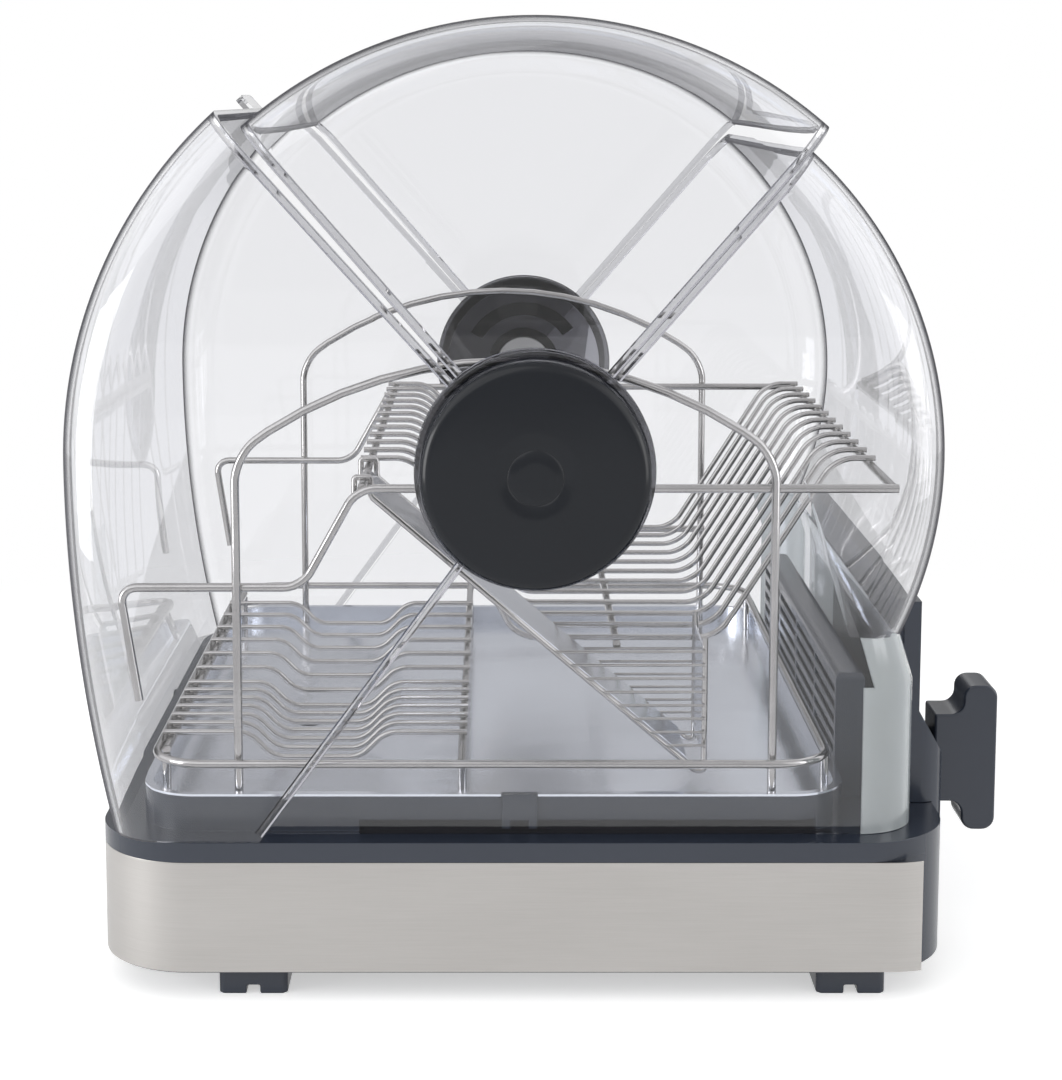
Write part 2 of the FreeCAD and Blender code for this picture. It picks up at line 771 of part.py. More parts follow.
def fan_wheel():
    plate = rod(wheel_radius, fan_point(wheel_top - wheel_plate), fan_point(wheel_top))
    hub = rod(2 * fan_shaft, fan_point(wheel_bottom), fan_point(wheel_top))
    ring = tube(wheel_radius, wheel_inner, fan_point(wheel_bottom), fan_point(wheel_bottom + wheel_plate))
    wheel = plate.fuse(hub).fuse(ring)
    chord = (wheel_radius - wheel_inner - 2 * blade_margin) / math.cos(math.radians(blade_lean))
    for i in range(blades):
        blade = block(0, chord, -blade_thick / 2, blade_thick / 2, wheel_bottom + wheel_plate,
                      wheel_top - wheel_plate)
        blade.rotate(V(0, 0, 0), V(0, 0, 1), blade_lean)
        blade.translate(V(wheel_inner + blade_margin, 0, 0))
        blade.rotate(V(0, 0, 0), V(0, 0, 1), 360 * i / blades)
        blade.translate(V(0, fan_y, 0))
        wheel = wheel.fuse(blade)
    return wheel.cut(rod(fan_shaft, fan_point(wheel_bottom), fan_point(wheel_top)))


def fan_scroll():
    drum = rod(scroll_radius, fan_point(blower_floor), fan_point(blower_top))
    throat = block(throat_left, throat_right, fan_y, scroll_front, blower_floor, blower_top)
    inner_drum = rod(scroll_radius - scroll_wall, fan_point(blower_floor + scroll_wall),
                     fan_point(blower_top - scroll_wall))
    inner_throat = block(throat_left + scroll_wall, throat_right - scroll_wall, fan_y, scroll_front,
                         blower_floor + scroll_wall, blower_top - scroll_wall)
    scroll = drum.fuse(throat).cut(inner_drum.fuse(inner_throat))
    mouth = rod(wheel_inner, fan_point(blower_floor), fan_point(blower_floor + scroll_wall))
    return scroll.cut(mouth)


def heater_frame():
    outer = block(throat_left, throat_right, scroll_front, duct_front, blower_floor, blower_top)
    inner = block(throat_left + scroll_wall, throat_right - scroll_wall, scroll_front, duct_front,
                  blower_floor + scroll_wall, blower_top - scroll_wall)
    return outer.cut(inner)


def heater_core():
    left, right = throat_left + scroll_wall, throat_right - scroll_wall
    low, high = blower_floor + scroll_wall, blower_top - scroll_wall
    y0, y1 = scroll_front + scroll_wall / 2, duct_front - scroll_wall / 2
    core = block(left, right, y0, y1, (low + high - scroll_wall) / 2, (low + high + scroll_wall) / 2)
    pitch = (right - left - fin_thick) / (heater_fins - 1)
    fins = [block(left + i * pitch, left + i * pitch + fin_thick, y0, y1, low, high)
            for i in range(heater_fins)]
    return core.multiFuse(fins)


def air_duct():
    outer = block(throat_left, throat_right, duct_front, duct_back + outlet_wall, blower_floor, band_top)
    inner = block(throat_left + outlet_wall, throat_right - outlet_wall, duct_front, duct_back,
                  blower_floor + outlet_wall, blower_top - outlet_wall)
    riser = block(throat_left + outlet_wall, throat_right - outlet_wall, outlet_front + outlet_wall,
                  duct_back, blower_floor + outlet_wall, band_top)
    return outer.cut(inner).cut(riser)


def thermostat():
    middle = V((throat_left + throat_right) / 2, (scroll_front + duct_front) / 2, blower_top)
    return rod(min(thermostat_radius, heater_length / 2), middle, middle + V(0, 0, thermostat_height))


def air_outlet():
    body = block(-outlet_half, outlet_half, outlet_front, outlet_back, outlet_base, outlet_top)
    body = rounded(body, 2 * outlet_wall, lambda e: e.Vertexes[0].Z > outlet_top - gap
                   and e.Vertexes[-1].Z > outlet_top - gap)
    room = block(-outlet_half + outlet_wall, outlet_half - outlet_wall, outlet_front + outlet_wall,
                 outlet_back - outlet_wall, outlet_base, outlet_top - 2 * outlet_wall)
    body = body.cut(room)
    bar = 2 * outlet_wall
    span = (2 * outlet_half - bar) / (outlet_bars + 1)
    pitch = (outlet_rise - 2 * bar) / outlet_slots
    for row in range(outlet_slots):
        z = rim_top + bar + row * pitch
        for i in range(outlet_bars + 1):
            x = -outlet_half + bar + i * span
            body = body.cut(block(x, x + span - bar, outlet_front, outlet_front + outlet_wall,
                                  z, z + outlet_slot))
    return body


# ---- Rear housing, hooks and gland ----
housing_y = base_back + housing_back
neck_y = skirt_y + housing_neck
housing_z = ledge_top + housing_top


def rear_housing():
    start = skirt_y + gap
    outline = [(base_back, pan_bottom), (housing_y, pan_bottom), (housing_y, ledge_top + housing_shoulder),
               (neck_y, ledge_top + housing_shoulder + housing_slope), (neck_y, housing_z),
               (start, housing_z), (start, cover_foot), (base_back, cover_foot)]
    body = side_prism(outline, housing_half)
    body = body.common(slab(housing_half, hub_y, housing_y, housing_round, 0, FAR))
    first = -(louvres - 1) / 2
    for i in range(louvres):
        x = (first + i) * louvre_pitch
        body = body.cut(block(x - louvre_width / 2, x + louvre_width / 2, base_back, housing_y,
                              band_top - louvre_height, band_top))
    return body.cut(gland_hole(gland_bore))


def gland_hole(radius):
    return rod(radius, V(gland_x, base_back - pan_wall, gland_z), V(gland_x, housing_y + gland_length, gland_z))


def cord_hook(x):
    stem = block(x - hook_width / 2, x + hook_width / 2, housing_y, housing_y + hook_stem,
                 hook_low, hook_low + hook_stem_height)
    middle = hook_low + hook_stem_height / 2
    start = housing_y + hook_stem
    plate = block(x - hook_width / 2, x + hook_width / 2, start, start + hook_plate,
                  middle - hook_plate_height / 2, middle + hook_plate_height / 2)
    plate = rounded(plate, hook_round, lambda e: abs(e.tangentAt(e.FirstParameter).x) > 0.9)
    relief = block(x - hook_width, x + hook_width, start + hook_plate / 2, start + 2 * hook_plate,
                   middle - hook_stem_height / 2, middle + hook_stem_height / 2)
    relief = rounded(relief, hook_round, lambda e: abs(e.tangentAt(e.FirstParameter).x) > 0.9)
    return stem.fuse(plate.cut(relief))


def cord_gland():
    collar = rod(gland_radius, V(gland_x, housing_y, gland_z), V(gland_x, housing_y + gland_length, gland_z))
    return collar.cut(gland_hole(gland_bore))


# ---- Upper rack ----
def rack_hoop(x):
    """Two legs, tight shoulder bends and a wide arch between them."""
    front, back = hub_y + hoop_front, hub_y + hoop_back
    foot = tray_floor + gap
    shoulder, crown = hub_z + hoop_shoulder, hub_z + hoop_crown
    half = (back - front) / 2
    rise = crown - shoulder
    arch = (half ** 2 + rise ** 2) / (2 * rise)
    middle = V(x, front + half, crown - arch)
    # each shoulder bend touches its leg and the arch from inside
    reach = arch - hoop_bend
    centre_z = middle.z + math.sqrt(reach ** 2 - (half - hoop_bend) ** 2)
    left, right = V(x, front + hoop_bend, centre_z), V(x, back - hoop_bend, centre_z)
    left_top = middle + (left - middle) * (arch / reach)
    right_top = middle + (right - middle) * (arch / reach)
    path = [V(x, front, foot)]
    path += arc_points(left, V(x, front, centre_z), left_top, 2)
    path += arc_points(middle, left_top, right_top, arch_steps)[1:-1]
    path += arc_points(right, right_top, V(x, back, centre_z), 2)
    return swept(path + [V(x, back, foot)], V(1, 0, 0), frame_wire)


def side_rail(x):
    nose_low = rail_z - step_drop - nose_drop
    points = [V(x, hub_y + rail_nose + nose_back, nose_low),
              V(x, hub_y + rail_nose, rail_z - step_drop),
              V(x, hub_y + step_front, rail_z - step_drop),
              V(x, hub_y + rail_front, rail_z),
              V(x, hub_y + rail_back, rail_z)]
    return bent_wire(points, rail_bend, frame_wire)


under = frame_wire + plate_wire + weld
plate_z = rail_z + under
cross_x = rail_x - frame_wire - weld
plate_x0 = -cross_x + plate_first
cup_right = hoop_x - cup_side
cup_left = cup_right - cup_width
plate_count = int((cup_left - cup_apart - plate_x0) / plate_pitch) + 1
plate_xs = [plate_x0 + i * plate_pitch for i in range(plate_count)]


def cross_rails():
    front_end = cup_left - 2 * frame_wire
    front = straight_wire(frame_wire, V(-cross_x, rail_y, rail_z), V(cross_x, rail_y, rail_z))
    back = straight_wire(frame_wire, V(-cross_x, hub_y + rail_back - frame_wire, rail_z),
               V(cross_x, hub_y + rail_back - frame_wire, rail_z))
    low_z = plate_z - plate_floor - under
    low_y = hub_y + (plate_floor_front + plate_floor_back) / 2
    low = straight_wire(frame_wire, V(-cross_x, low_y, low_z), V(front_end, low_y, low_z))
    return front, back, low


def rack_ties():
    """Wire that joins the low cross rail to the left hoop."""
    low_z = plate_z - plate_floor - under
    low_y = hub_y + (plate_floor_front + plate_floor_back) / 2
    back = hub_y + hoop_back
    return [straight_wire(frame_wire, V(-rail_x, low_y, low_z), V(-rail_x, back + frame_wire, low_z))]


def plate_wires():
    wires = []
    for x in plate_xs:
        points = [V(x, hub_y + rail_front - frame_wire, plate_z),
                  V(x, hub_y + rail_front + plate_lip, plate_z),
                  V(x, hub_y + plate_floor_front, plate_z - plate_floor),
                  V(x, hub_y + plate_floor_back, plate_z - plate_floor),
                  V(x, hub_y + plate_rise_back, plate_z),
                  V(x, hub_y + rail_back, plate_z)]
        wires.append(bent_wire(points, plate_bend, plate_wire))
    return wires


# ---- Lower rack ----
low_half = base_half - low_side
low_y0 = base_front + low_front
low_y1 = base_back - low_back
low_z = rim_top + low_level
low_rail_y = low_y0 + low_rail


def lower_rim():
    """Closed loop of wire with rounded corners."""
    h = low_half
    corners = [V(-h, low_y0, low_z), V(h, low_y0, low_z), V(h, low_y1, low_z), V(-h, low_y1, low_z)]
    path = []
    for i in range(4):
        path += bend_points(corners[i - 1], corners[i], corners[(i + 1) % 4], low_corner)
    return swept(path, V(0, 0, 1), frame_wire, closed=True)


def lower_rails():
    inner = straight_wire(frame_wire, V(-low_half + frame_wire, low_rail_y, low_z), V(low_half - frame_wire, low_rail_y, low_z))
    front = straight_wire(frame_wire, V(-low_half + low_corner, low_y0 + 2 * frame_wire + weld, low_z),
                V(low_half - low_corner, low_y0 + 2 * frame_wire + weld, low_z))
    return inner, front


def lower_feet():
    legs = []
    for x in (-low_half + low_corner, low_half - low_corner):
        for y in (low_y0 + 2 * frame_wire + weld, low_rail_y):
            legs.append(straight_wire(frame_wire, V(x, y, tray_floor + gap), V(x, y, low_z - frame_wire)))
        legs.append(straight_wire(frame_wire, V(x, low_y1, tray_floor + gap), V(x, low_y1, low_z - frame_wire)))
    return legs


def cradle_xs():
    xs = [-low_half + cradle_first + i * cradle_wide for i in range(cradle_wide_count)]
    return xs + [xs[-1] + (i + 1) * cradle_narrow for i in range(cradle_narrow_count)]


def cradle_wires():
    wires = []
    top = low_z + under
    dip_end = low_y0 + cradle_start + cradle_length
    for x in cradle_xs():
        points = [V(x, low_y0, top), V(x, low_y0 + cradle_start, top),
                  V(x, low_y0 + cradle_start + cradle_dip, top - cradle_dip),
                  V(x, dip_end - cradle_dip, top - cradle_dip), V(x, dip_end, top),
                  V(x, low_rail_y + frame_wire, top)]
        wires.append(bent_wire(points, cradle_bend / 2, plate_wire))
    return wires


# ---- Cutlery holder ----
cup_z0 = ledge_top + cup_floor
cup_z1 = ledge_top + cup_top
cup_y1 = hub_y + cup_back
cup_y0 = hub_y + rail_front
cup_slope = (rail_z - cup_z0) / (cup_y1 - cup_y0)
rail_y = hub_y + rail_front + frame_wire
hook_reach = frame_wire + plate_wire + gap


def cup_front_y(z):
    return cup_y0 + (rail_z - z) / cup_slope


def cup_slope_z(y):
    return rail_z - (y - cup_y0) * cup_slope


def cup_frame(x):
    """Side wire: hooks over the front rail, runs down the slope and up the back."""
    points = [V(x, rail_y - hook_reach, rail_z - hook_reach),
              V(x, rail_y - hook_reach, rail_z + hook_reach),
              V(x, rail_y + hook_reach, rail_z + hook_reach),
              V(x, rail_y + hook_reach, cup_slope_z(rail_y + hook_reach)),
              V(x, cup_y1 - frame_wire, cup_z0),
              V(x, cup_y1 + frame_wire, cup_z0),
              V(x, cup_y1 + frame_wire, cup_z1 + cup_hook)]
    return bent_wire(points, plate_wire, plate_wire)


def cup_loops():
    return cup_frame(cup_left), cup_frame(cup_right)


def cup_grid():
    wires = []
    pitch = (cup_z1 - cup_z0 - cup_hook) / cup_wires
    out = 1.5 * plate_wire + weld
    for side in (cup_left - out, cup_right + out):
        for i in range(cup_wires):
            z = cup_z0 + cup_hook + (i + 1) * pitch
            wires.append(straight_wire(plate_wire / 2, V(side, cup_front_y(z), z), V(side, cup_y1 + frame_wire, z)))
    return wires


def cup_chute():
    """Sloping sheet that the cutlery slides down."""
    x0, x1 = cup_left + plate_wire + weld, cup_right - plate_wire - weld
    top, low = rail_z - frame_wire, cup_z0 + cup_hook
    y_top, y_low = cup_front_y(top), cup_front_y(low)
    sheet = chute_sheet / math.cos(math.atan(cup_slope))
    outline = [(y_top, top), (y_low, low), (y_low + sheet, low), (y_top + sheet, top)]
    return side_prism(outline, (x1 - x0) / 2, x0)


def cup_back_wall():
    x0, x1 = cup_left + plate_wire + weld, cup_right - plate_wire - weld
    y = cup_y1 + frame_wire
    return block(x0, x1, y - chute_sheet / 2, y + chute_sheet / 2, cup_z0 + cup_hook, cup_z1)


# ---- Build ----
save("rear_cover", rear_cover())
save("top_lid", top_lid())
save("front_lid", front_lid())
save("hub_pins", hub_pin(), mirrored(hub_pin()))
save("hub_washers", *hub_washers())
save("hub_caps", hub_cap(), mirrored(hub_cap()))
save("base_pan", base_pan())
save("steel_band", steel_band())
save("feet", *feet())
save("base_deck", base_deck())
save("side_catches", *side_catches())
save("drain_tray", drain_tray())
save("drawer_tray", drawer_tray())
save("drawer_face", drawer_face())
save("control_panel", control_panel())
save("timer_body", timer_body())
save("timer_knob", timer_knob())
save("pilot_lamp", pilot_lamp())
save("fan_motor", fan_motor())
save("fan_spindle", fan_spindle())
save("fan_wheel", fan_wheel())
save("fan_scroll", fan_scroll())
save("heater_frame", heater_frame())
save("heater_core", heater_core())
save("air_duct", air_duct())
save("thermostat", thermostat())
save("air_outlet", air_outlet())
save("rear_housing", rear_housing())
save("cord_hooks", cord_hook(hook_x), cord_hook(-hook_x))
save("cord_gland", cord_gland())
save("rack_hoop_right", rack_hoop(hoop_x))
save("rack_hoop_left", rack_hoop(-hoop_x))
save("side_rail_right", side_rail(rail_x))
save("side_rail_left", side_rail(-rail_x))
save("cross_rails", *cross_rails())
save("rack_ties", *rack_ties())
save("plate_wires", *plate_wires())
save("lower_rim", lower_rim())
save("lower_rails", *lower_rails())
save("lower_feet", *lower_feet())
save("cradle_wires", *cradle_wires())
save("cup_loops", *cup_loops())
save("cup_grid", *cup_grid())
save("cup_chute", cup_chute())
save("cup_back_wall", cup_back_wall())
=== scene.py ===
import json
import math

import bmesh
import bpy
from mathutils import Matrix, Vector

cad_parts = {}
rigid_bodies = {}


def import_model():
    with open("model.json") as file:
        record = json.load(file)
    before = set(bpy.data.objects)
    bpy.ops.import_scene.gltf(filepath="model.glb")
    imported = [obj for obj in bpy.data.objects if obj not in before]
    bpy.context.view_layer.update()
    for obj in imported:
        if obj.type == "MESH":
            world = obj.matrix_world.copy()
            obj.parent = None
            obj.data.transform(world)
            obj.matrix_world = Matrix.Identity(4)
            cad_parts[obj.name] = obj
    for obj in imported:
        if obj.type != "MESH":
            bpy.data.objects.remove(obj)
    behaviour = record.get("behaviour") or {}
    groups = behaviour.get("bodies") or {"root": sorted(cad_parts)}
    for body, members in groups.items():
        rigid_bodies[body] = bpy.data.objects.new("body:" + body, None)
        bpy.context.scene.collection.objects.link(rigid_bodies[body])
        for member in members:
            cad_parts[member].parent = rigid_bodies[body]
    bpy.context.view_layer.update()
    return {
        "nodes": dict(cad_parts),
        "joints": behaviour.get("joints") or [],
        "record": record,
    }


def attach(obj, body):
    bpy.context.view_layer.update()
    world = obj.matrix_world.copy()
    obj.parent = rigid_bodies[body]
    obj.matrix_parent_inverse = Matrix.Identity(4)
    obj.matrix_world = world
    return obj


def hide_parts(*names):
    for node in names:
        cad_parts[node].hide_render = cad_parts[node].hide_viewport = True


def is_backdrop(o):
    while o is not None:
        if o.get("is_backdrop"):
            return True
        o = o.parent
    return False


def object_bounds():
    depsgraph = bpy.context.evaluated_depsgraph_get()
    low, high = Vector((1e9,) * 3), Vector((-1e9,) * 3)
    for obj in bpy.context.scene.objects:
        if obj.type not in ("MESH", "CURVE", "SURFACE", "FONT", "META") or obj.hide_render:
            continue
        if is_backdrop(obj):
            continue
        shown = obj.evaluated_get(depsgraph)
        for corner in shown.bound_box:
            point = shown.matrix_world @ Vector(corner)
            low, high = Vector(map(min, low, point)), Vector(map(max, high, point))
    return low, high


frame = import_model()
mm = 0.001
weldDistance = 0.002 * mm
hub = Vector([j["pos_m"] for j in frame["joints"] if j["name"] == "front_lid_hinge"][0])


# tools
def deselect():
    if bpy.context.object and bpy.context.object.mode != "OBJECT":
        bpy.ops.object.mode_set(mode="OBJECT")
    bpy.ops.object.select_all(action="DESELECT")


def choose(obj):
    deselect()
    obj.select_set(True)
    bpy.context.view_layer.objects.active = obj
    return obj


def edit(obj):
    choose(obj)
    bpy.ops.object.mode_set(mode="EDIT")
    bpy.ops.mesh.select_mode(type="VERT")
    bpy.ops.mesh.select_all(action="SELECT")


def leaveEdit():
    bpy.ops.object.mode_set(mode="OBJECT")
    return bpy.context.object


def pick(kind, test):
    # selects vertices, edges or faces of the mesh being edited by a rule on each
    bpy.ops.mesh.select_mode(type=kind)
    bpy.ops.mesh.select_all(action="DESELECT")
    mesh = bmesh.from_edit_mesh(bpy.context.object.data)
    for item in {"VERT": mesh.verts, "EDGE": mesh.edges, "FACE": mesh.faces}[kind]:
        if test(item):
            item.select_set(True)
    bmesh.update_edit_mesh(bpy.context.object.data)


def settle():
    bpy.ops.object.transform_apply(location=True, rotation=True, scale=True)
    return bpy.context.object


def block(low, high):
    deselect()
    low, high = Vector(low), Vector(high)
    bpy.ops.mesh.primitive_cube_add(size=1, location=(low + high) / 2, scale=high - low)
    return settle()


def rod(radius, start, end, sides=48):
    deselect()
    start, end = Vector(start), Vector(end)
    turn = (end - start).to_track_quat("Z", "Y").to_euler()
    bpy.ops.mesh.primitive_cylinder_add(vertices=sides, radius=radius, depth=(end - start).length,
                                        location=(start + end) / 2, rotation=turn)
    return settle()


def bevelEdges(test, width, steps):
    pick("EDGE", test)
    bpy.ops.mesh.bevel(offset=width, segments=steps, affect="EDGES", clamp_overlap=True)


def along(edge):
    return (edge.verts[1].co - edge.verts[0].co).normalized()


def cut(point, normal, fill=False):
    # removes what lies on the side that the normal points to
    bpy.ops.mesh.select_all(action="SELECT")
    bpy.ops.mesh.bisect(plane_co=point, plane_no=normal, clear_outer=True, use_fill=fill)


def applyModifier(obj, kind, **settings):
    choose(obj)
    bpy.ops.object.modifier_add(type=kind)
    modifier = obj.modifiers[-1]
    for name, value in settings.items():
        setattr(modifier, name, value)
    bpy.ops.object.modifier_apply(modifier=modifier.name)
    return obj


def combine(obj, other, operation):
    applyModifier(obj, "BOOLEAN", object=other, operation=operation, solver="EXACT")
    bpy.data.objects.remove(other)
    return obj


def joinAll(pieces):
    deselect()
    for piece in pieces:
        piece.select_set(True)
    bpy.context.view_layer.objects.active = pieces[0]
    bpy.ops.object.join()
    return bpy.context.object


def weld(obj):
    # points that lie on each other become one, and slivers between them go
    edit(obj)
    bpy.ops.mesh.remove_doubles(threshold=weldDistance)
    bpy.ops.mesh.dissolve_degenerate(threshold=weldDistance)
    bpy.ops.mesh.delete_loose()
    return leaveEdit()


def smooth(obj, angle=35, weighted=True):
    choose(obj)
    bpy.ops.object.shade_smooth_by_angle(angle=math.radians(angle))
    if weighted:
        applyModifier(obj, "WEIGHTED_NORMAL", keep_sharp=True, weight=80)
    return obj


def finishPiece(obj, name, material, body, slotName, *nodes):
    obj.name = name
    obj.data.name = name
    if material:
        obj.data.materials.clear()
        obj.data.materials.append(material)
    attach(obj, body)
    if nodes:
        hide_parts(*nodes)
    return obj


def chain(points, closed=False):
    # a line of edges, drawn out point by point; it stays in edit mode
    deselect()
    bpy.ops.mesh.primitive_plane_add(size=mm, location=points[0])
    settle()
    bpy.ops.object.mode_set(mode="EDIT")
    bpy.ops.mesh.select_mode(type="VERT")
    bpy.ops.mesh.select_all(action="SELECT")
    bpy.ops.mesh.merge(type="CENTER")
    for before, after in zip(points, points[1:]):
        step = Vector(after) - Vector(before)
        bpy.ops.mesh.extrude_region_move(TRANSFORM_OT_translate={"value": step})
    if closed:
        pick("VERT", lambda v: len(v.link_edges) == 1)
        bpy.ops.mesh.edge_face_add()


def roundCorners(radius, steps):
    pick("VERT", lambda v: len(v.link_edges) == 2)
    bpy.ops.mesh.bevel(offset=radius, segments=steps, affect="VERTICES", clamp_overlap=True)


def tubeFromLine(radius, closed=False):
    leaveEdit()
    bpy.ops.object.convert(target="CURVE")
    shape = bpy.context.object.data
    shape.bevel_depth = radius
    shape.bevel_resolution = 3
    shape.use_fill_caps = not closed
    bpy.ops.object.convert(target="MESH")
    return smooth(weld(bpy.context.object), 50, False)


def wire(points, bend, radius, closed=False, steps=6):
    chain(points, closed)
    if bend:
        roundCorners(bend, steps)
    return tubeFromLine(radius, closed)


def plateFrom(points, depth, radius=0, corners=None, steps=8):
    # a flat outline, rounded where asked, drawn out to a plate
    chain(points, True)
    if radius:
        pick("VERT", corners or (lambda v: True))
        bpy.ops.mesh.bevel(offset=radius, segments=steps, affect="VERTICES", clamp_overlap=True)
    bpy.ops.mesh.select_all(action="SELECT")
    bpy.ops.mesh.edge_face_add()
    bpy.ops.mesh.extrude_region_move(TRANSFORM_OT_translate={"value": depth})
    bpy.ops.mesh.select_all(action="SELECT")
    bpy.ops.mesh.normals_make_consistent(inside=False)
    return leaveEdit()


def slab(half, front, back, corner, low, high):
    # flat body with four rounded upright corners
    outline = [(-half, front, low), (half, front, low), (half, back, low), (-half, back, low)]
    return plateFrom(outline, (0, 0, high - low), corner, steps=20)


def ringWall(half, front, back, corner, wall, low, high):
    outer = slab(half, front, back, corner, low, high)
    inner = slab(half - wall, front + wall, back - wall, corner - wall, low - mm, high + mm)
    return combine(outer, inner, "DIFFERENCE")


def rounded(obj, width, steps=3):
    applyModifier(obj, "BEVEL", width=width, segments=steps, limit_method="ANGLE",
                  angle_limit=math.radians(40), use_clamp_overlap=True)
    return smooth(weld(obj))


def copyAlong(obj, step, count):
    # the first piece and its copies, each with its own mesh
    row = [obj]
    for i in range(1, count):
        choose(obj)
        bpy.ops.object.duplicate(linked=False)
        copy = bpy.context.object
        copy.location = Vector(step) * i
        settle()
        row.append(copy)
    return row


# finishes
class Value:
    def __init__(self, finish, socket):
        self.finish = finish
        self.socket = socket

    def math(self, operation, other):
        return self.finish.add("Math", {"operation": operation}, {0: self, 1: other})

    def __add__(self, other):
        return self.math("ADD", other)

    def __sub__(self, other):
        return self.math("SUBTRACT", other)

    def __mul__(self, other):
        return self.math("MULTIPLY", other)

    __radd__ = __add__


class Nodes:
    def __init__(self, tree):
        self.tree = tree

    def add(self, kind, settings=None, inputs=None, output=0):
        node = self.tree.nodes.new("ShaderNode" + kind)
        for name, value in (settings or {}).items():
            if name == "stops":
                for i, (place, shade) in enumerate(value):
                    stop = node.color_ramp.elements[i] if i < 2 else node.color_ramp.elements.new(place)
                    stop.position = place
                    stop.color = shade
            else:
                setattr(node, name, value)
        for name, value in (inputs or {}).items():
            if isinstance(value, Value):
                self.tree.links.new(value.socket, node.inputs[name])
            else:
                node.inputs[name].default_value = value
        return Value(self, node.outputs[output])

    def place(self, scale):
        spot = self.add("TexCoord", output="Object")
        return self.add("Mapping", None, {"Vector": spot, "Scale": scale})

    def noise(self, scale, detail, stretch=(1, 1, 1)):
        return self.add("TexNoise", None, {"Vector": self.place(stretch), "Scale": scale, "Detail": detail})

    def mix(self, share, first, second):
        # the colour sockets of a Mix node share their names with others, so they go by number
        return self.add("Mix", {"data_type": "RGBA"}, {0: share, 6: first, 7: second}, 2)

    def choice(self, share, first, second):
        return self.add("Mix", {"data_type": "FLOAT"}, {0: share, 2: first, 3: second})

    def rays(self, kind):
        return self.add("LightPath", output="Is " + kind + " Ray")

    def fade(self, value, start, end, low=0.0, high=1.0):
        return self.add("MapRange", {"interpolation_type": "SMOOTHSTEP"},
                        {"Value": value, "From Min": start, "From Max": end, "To Min": low, "To Max": high})

    def blend(self, share, first, second):
        return self.add("MixShader", None, {0: share, 1: first, 2: second})


class Finish(Nodes):
    def __init__(self, name, **fixed):
        self.material = bpy.data.materials.new(name)
        self.material.use_nodes = True
        super().__init__(self.material.node_tree)
        self.shader = self.tree.nodes["Principled BSDF"]
        for socket, value in fixed.items():
            self.shader.inputs[socket.replace("_", " ")].default_value = value

    def set(self, **sockets):
        for socket, value in sockets.items():
            self.tree.links.new(value.socket, self.shader.inputs[socket.replace("_", " ")])
        return self

    def surface(self):
        return Value(self, self.shader.outputs[0])

    def finishWith(self, result):
        self.tree.links.new(result.socket, self.tree.nodes["Material Output"].inputs["Surface"])

    def bump(self, height, strength, distance):
        normal = self.add("Bump", None, {"Height": height, "Strength": strength, "Distance": distance})
        return self.set(Normal=normal)


bumpDepth = {"wave": 2.0 * mm, "grain": 0.2 * mm, "lines": 0.05 * mm}


def shade(red, green, blue):
    return (red, green, blue, 1.0)


def clearFinish(name, look):
    # clear moulding: light passes and bends; where the wall is seen edge on, a dark matt shader is mixed in,
    # a painted shade for the dark edges of clear plastic
    finish = Finish(name, Roughness=look["roughness"], IOR=look["bend"], Transmission_Weight=1.0)
    haze = finish.noise(look["hazeScale"], 3.0)
    finish.set(Base_Color=finish.mix(haze, shade(*look["clear"]), shade(*look["hazy"])))
    finish.bump(finish.noise(look["wave"], 1.0), look["waveStrength"], bumpDepth["wave"])
    facing = finish.add("LayerWeight", None, {"Blend": 0.5}, "Facing")
    edge = finish.fade(facing, look["edgeFrom"], look["edgeTo"], 0.0, look["paintedEdgeShadeShare"])
    dark = finish.add("BsdfPrincipled", None, {"Base Color": shade(*look["edge"]), "Roughness": 0.7,
                                               "Specular IOR Level": 0.0})
    wall = finish.blend(edge, finish.surface(), dark)
    # lamps, matt and bright pieces inside see straight through it, so that they stay evenly lit
    passing = finish.rays("Shadow").math("MAXIMUM", finish.rays("Diffuse"))
    mirrored = finish.rays("Glossy") - finish.rays("Transmission")
    passing = passing.math("MAXIMUM", mirrored)
    through = finish.add("BsdfTransparent", None, {"Color": shade(*look["hazy"])})
    finish.finishWith(finish.blend(passing, wall, through))
    return finish.material


# edge, edgeFrom, edgeTo and the share give the painted edge shade: its colour, where it starts and ends, and
# how much of it
wallLook = {"clear": (0.94, 0.942, 0.952), "hazy": (0.92, 0.922, 0.936), "edge": (0.13, 0.13, 0.14),
            "edgeFrom": 0.90, "edgeTo": 1.0, "paintedEdgeShadeShare": 0.9, "roughness": 0.0, "bend": 1.47,
            "hazeScale": 6.0, "wave": 12.0, "waveStrength": 0.03}
rimLook = dict(wallLook, edgeFrom=0.40, edgeTo=0.80, paintedEdgeShadeShare=0.95, edge=(0.09, 0.09, 0.10))
# the ribs are the same clear moulding; their grey tint is painted shade for the dark lines along the beads
ribLook = dict(wallLook, clear=(0.40, 0.40, 0.42), hazy=(0.35, 0.35, 0.37), edgeFrom=0.60, edgeTo=0.95)


def mouldedFinish(name, look):
    finish = Finish(name, Specular_IOR_Level=look["gloss"], Transmission_Weight=look.get("through", 0.0))
    grain = finish.noise(look["grain"], 4.0)
    cloud = finish.noise(look["cloud"], 2.0)
    finish.set(Base_Color=finish.mix(cloud, shade(*look["dark"]), shade(*look["light"])))
    finish.set(Roughness=look["roughness"] + grain * look["roughRise"])
    finish.bump(grain, look["bump"], bumpDepth["grain"])
    return finish.material


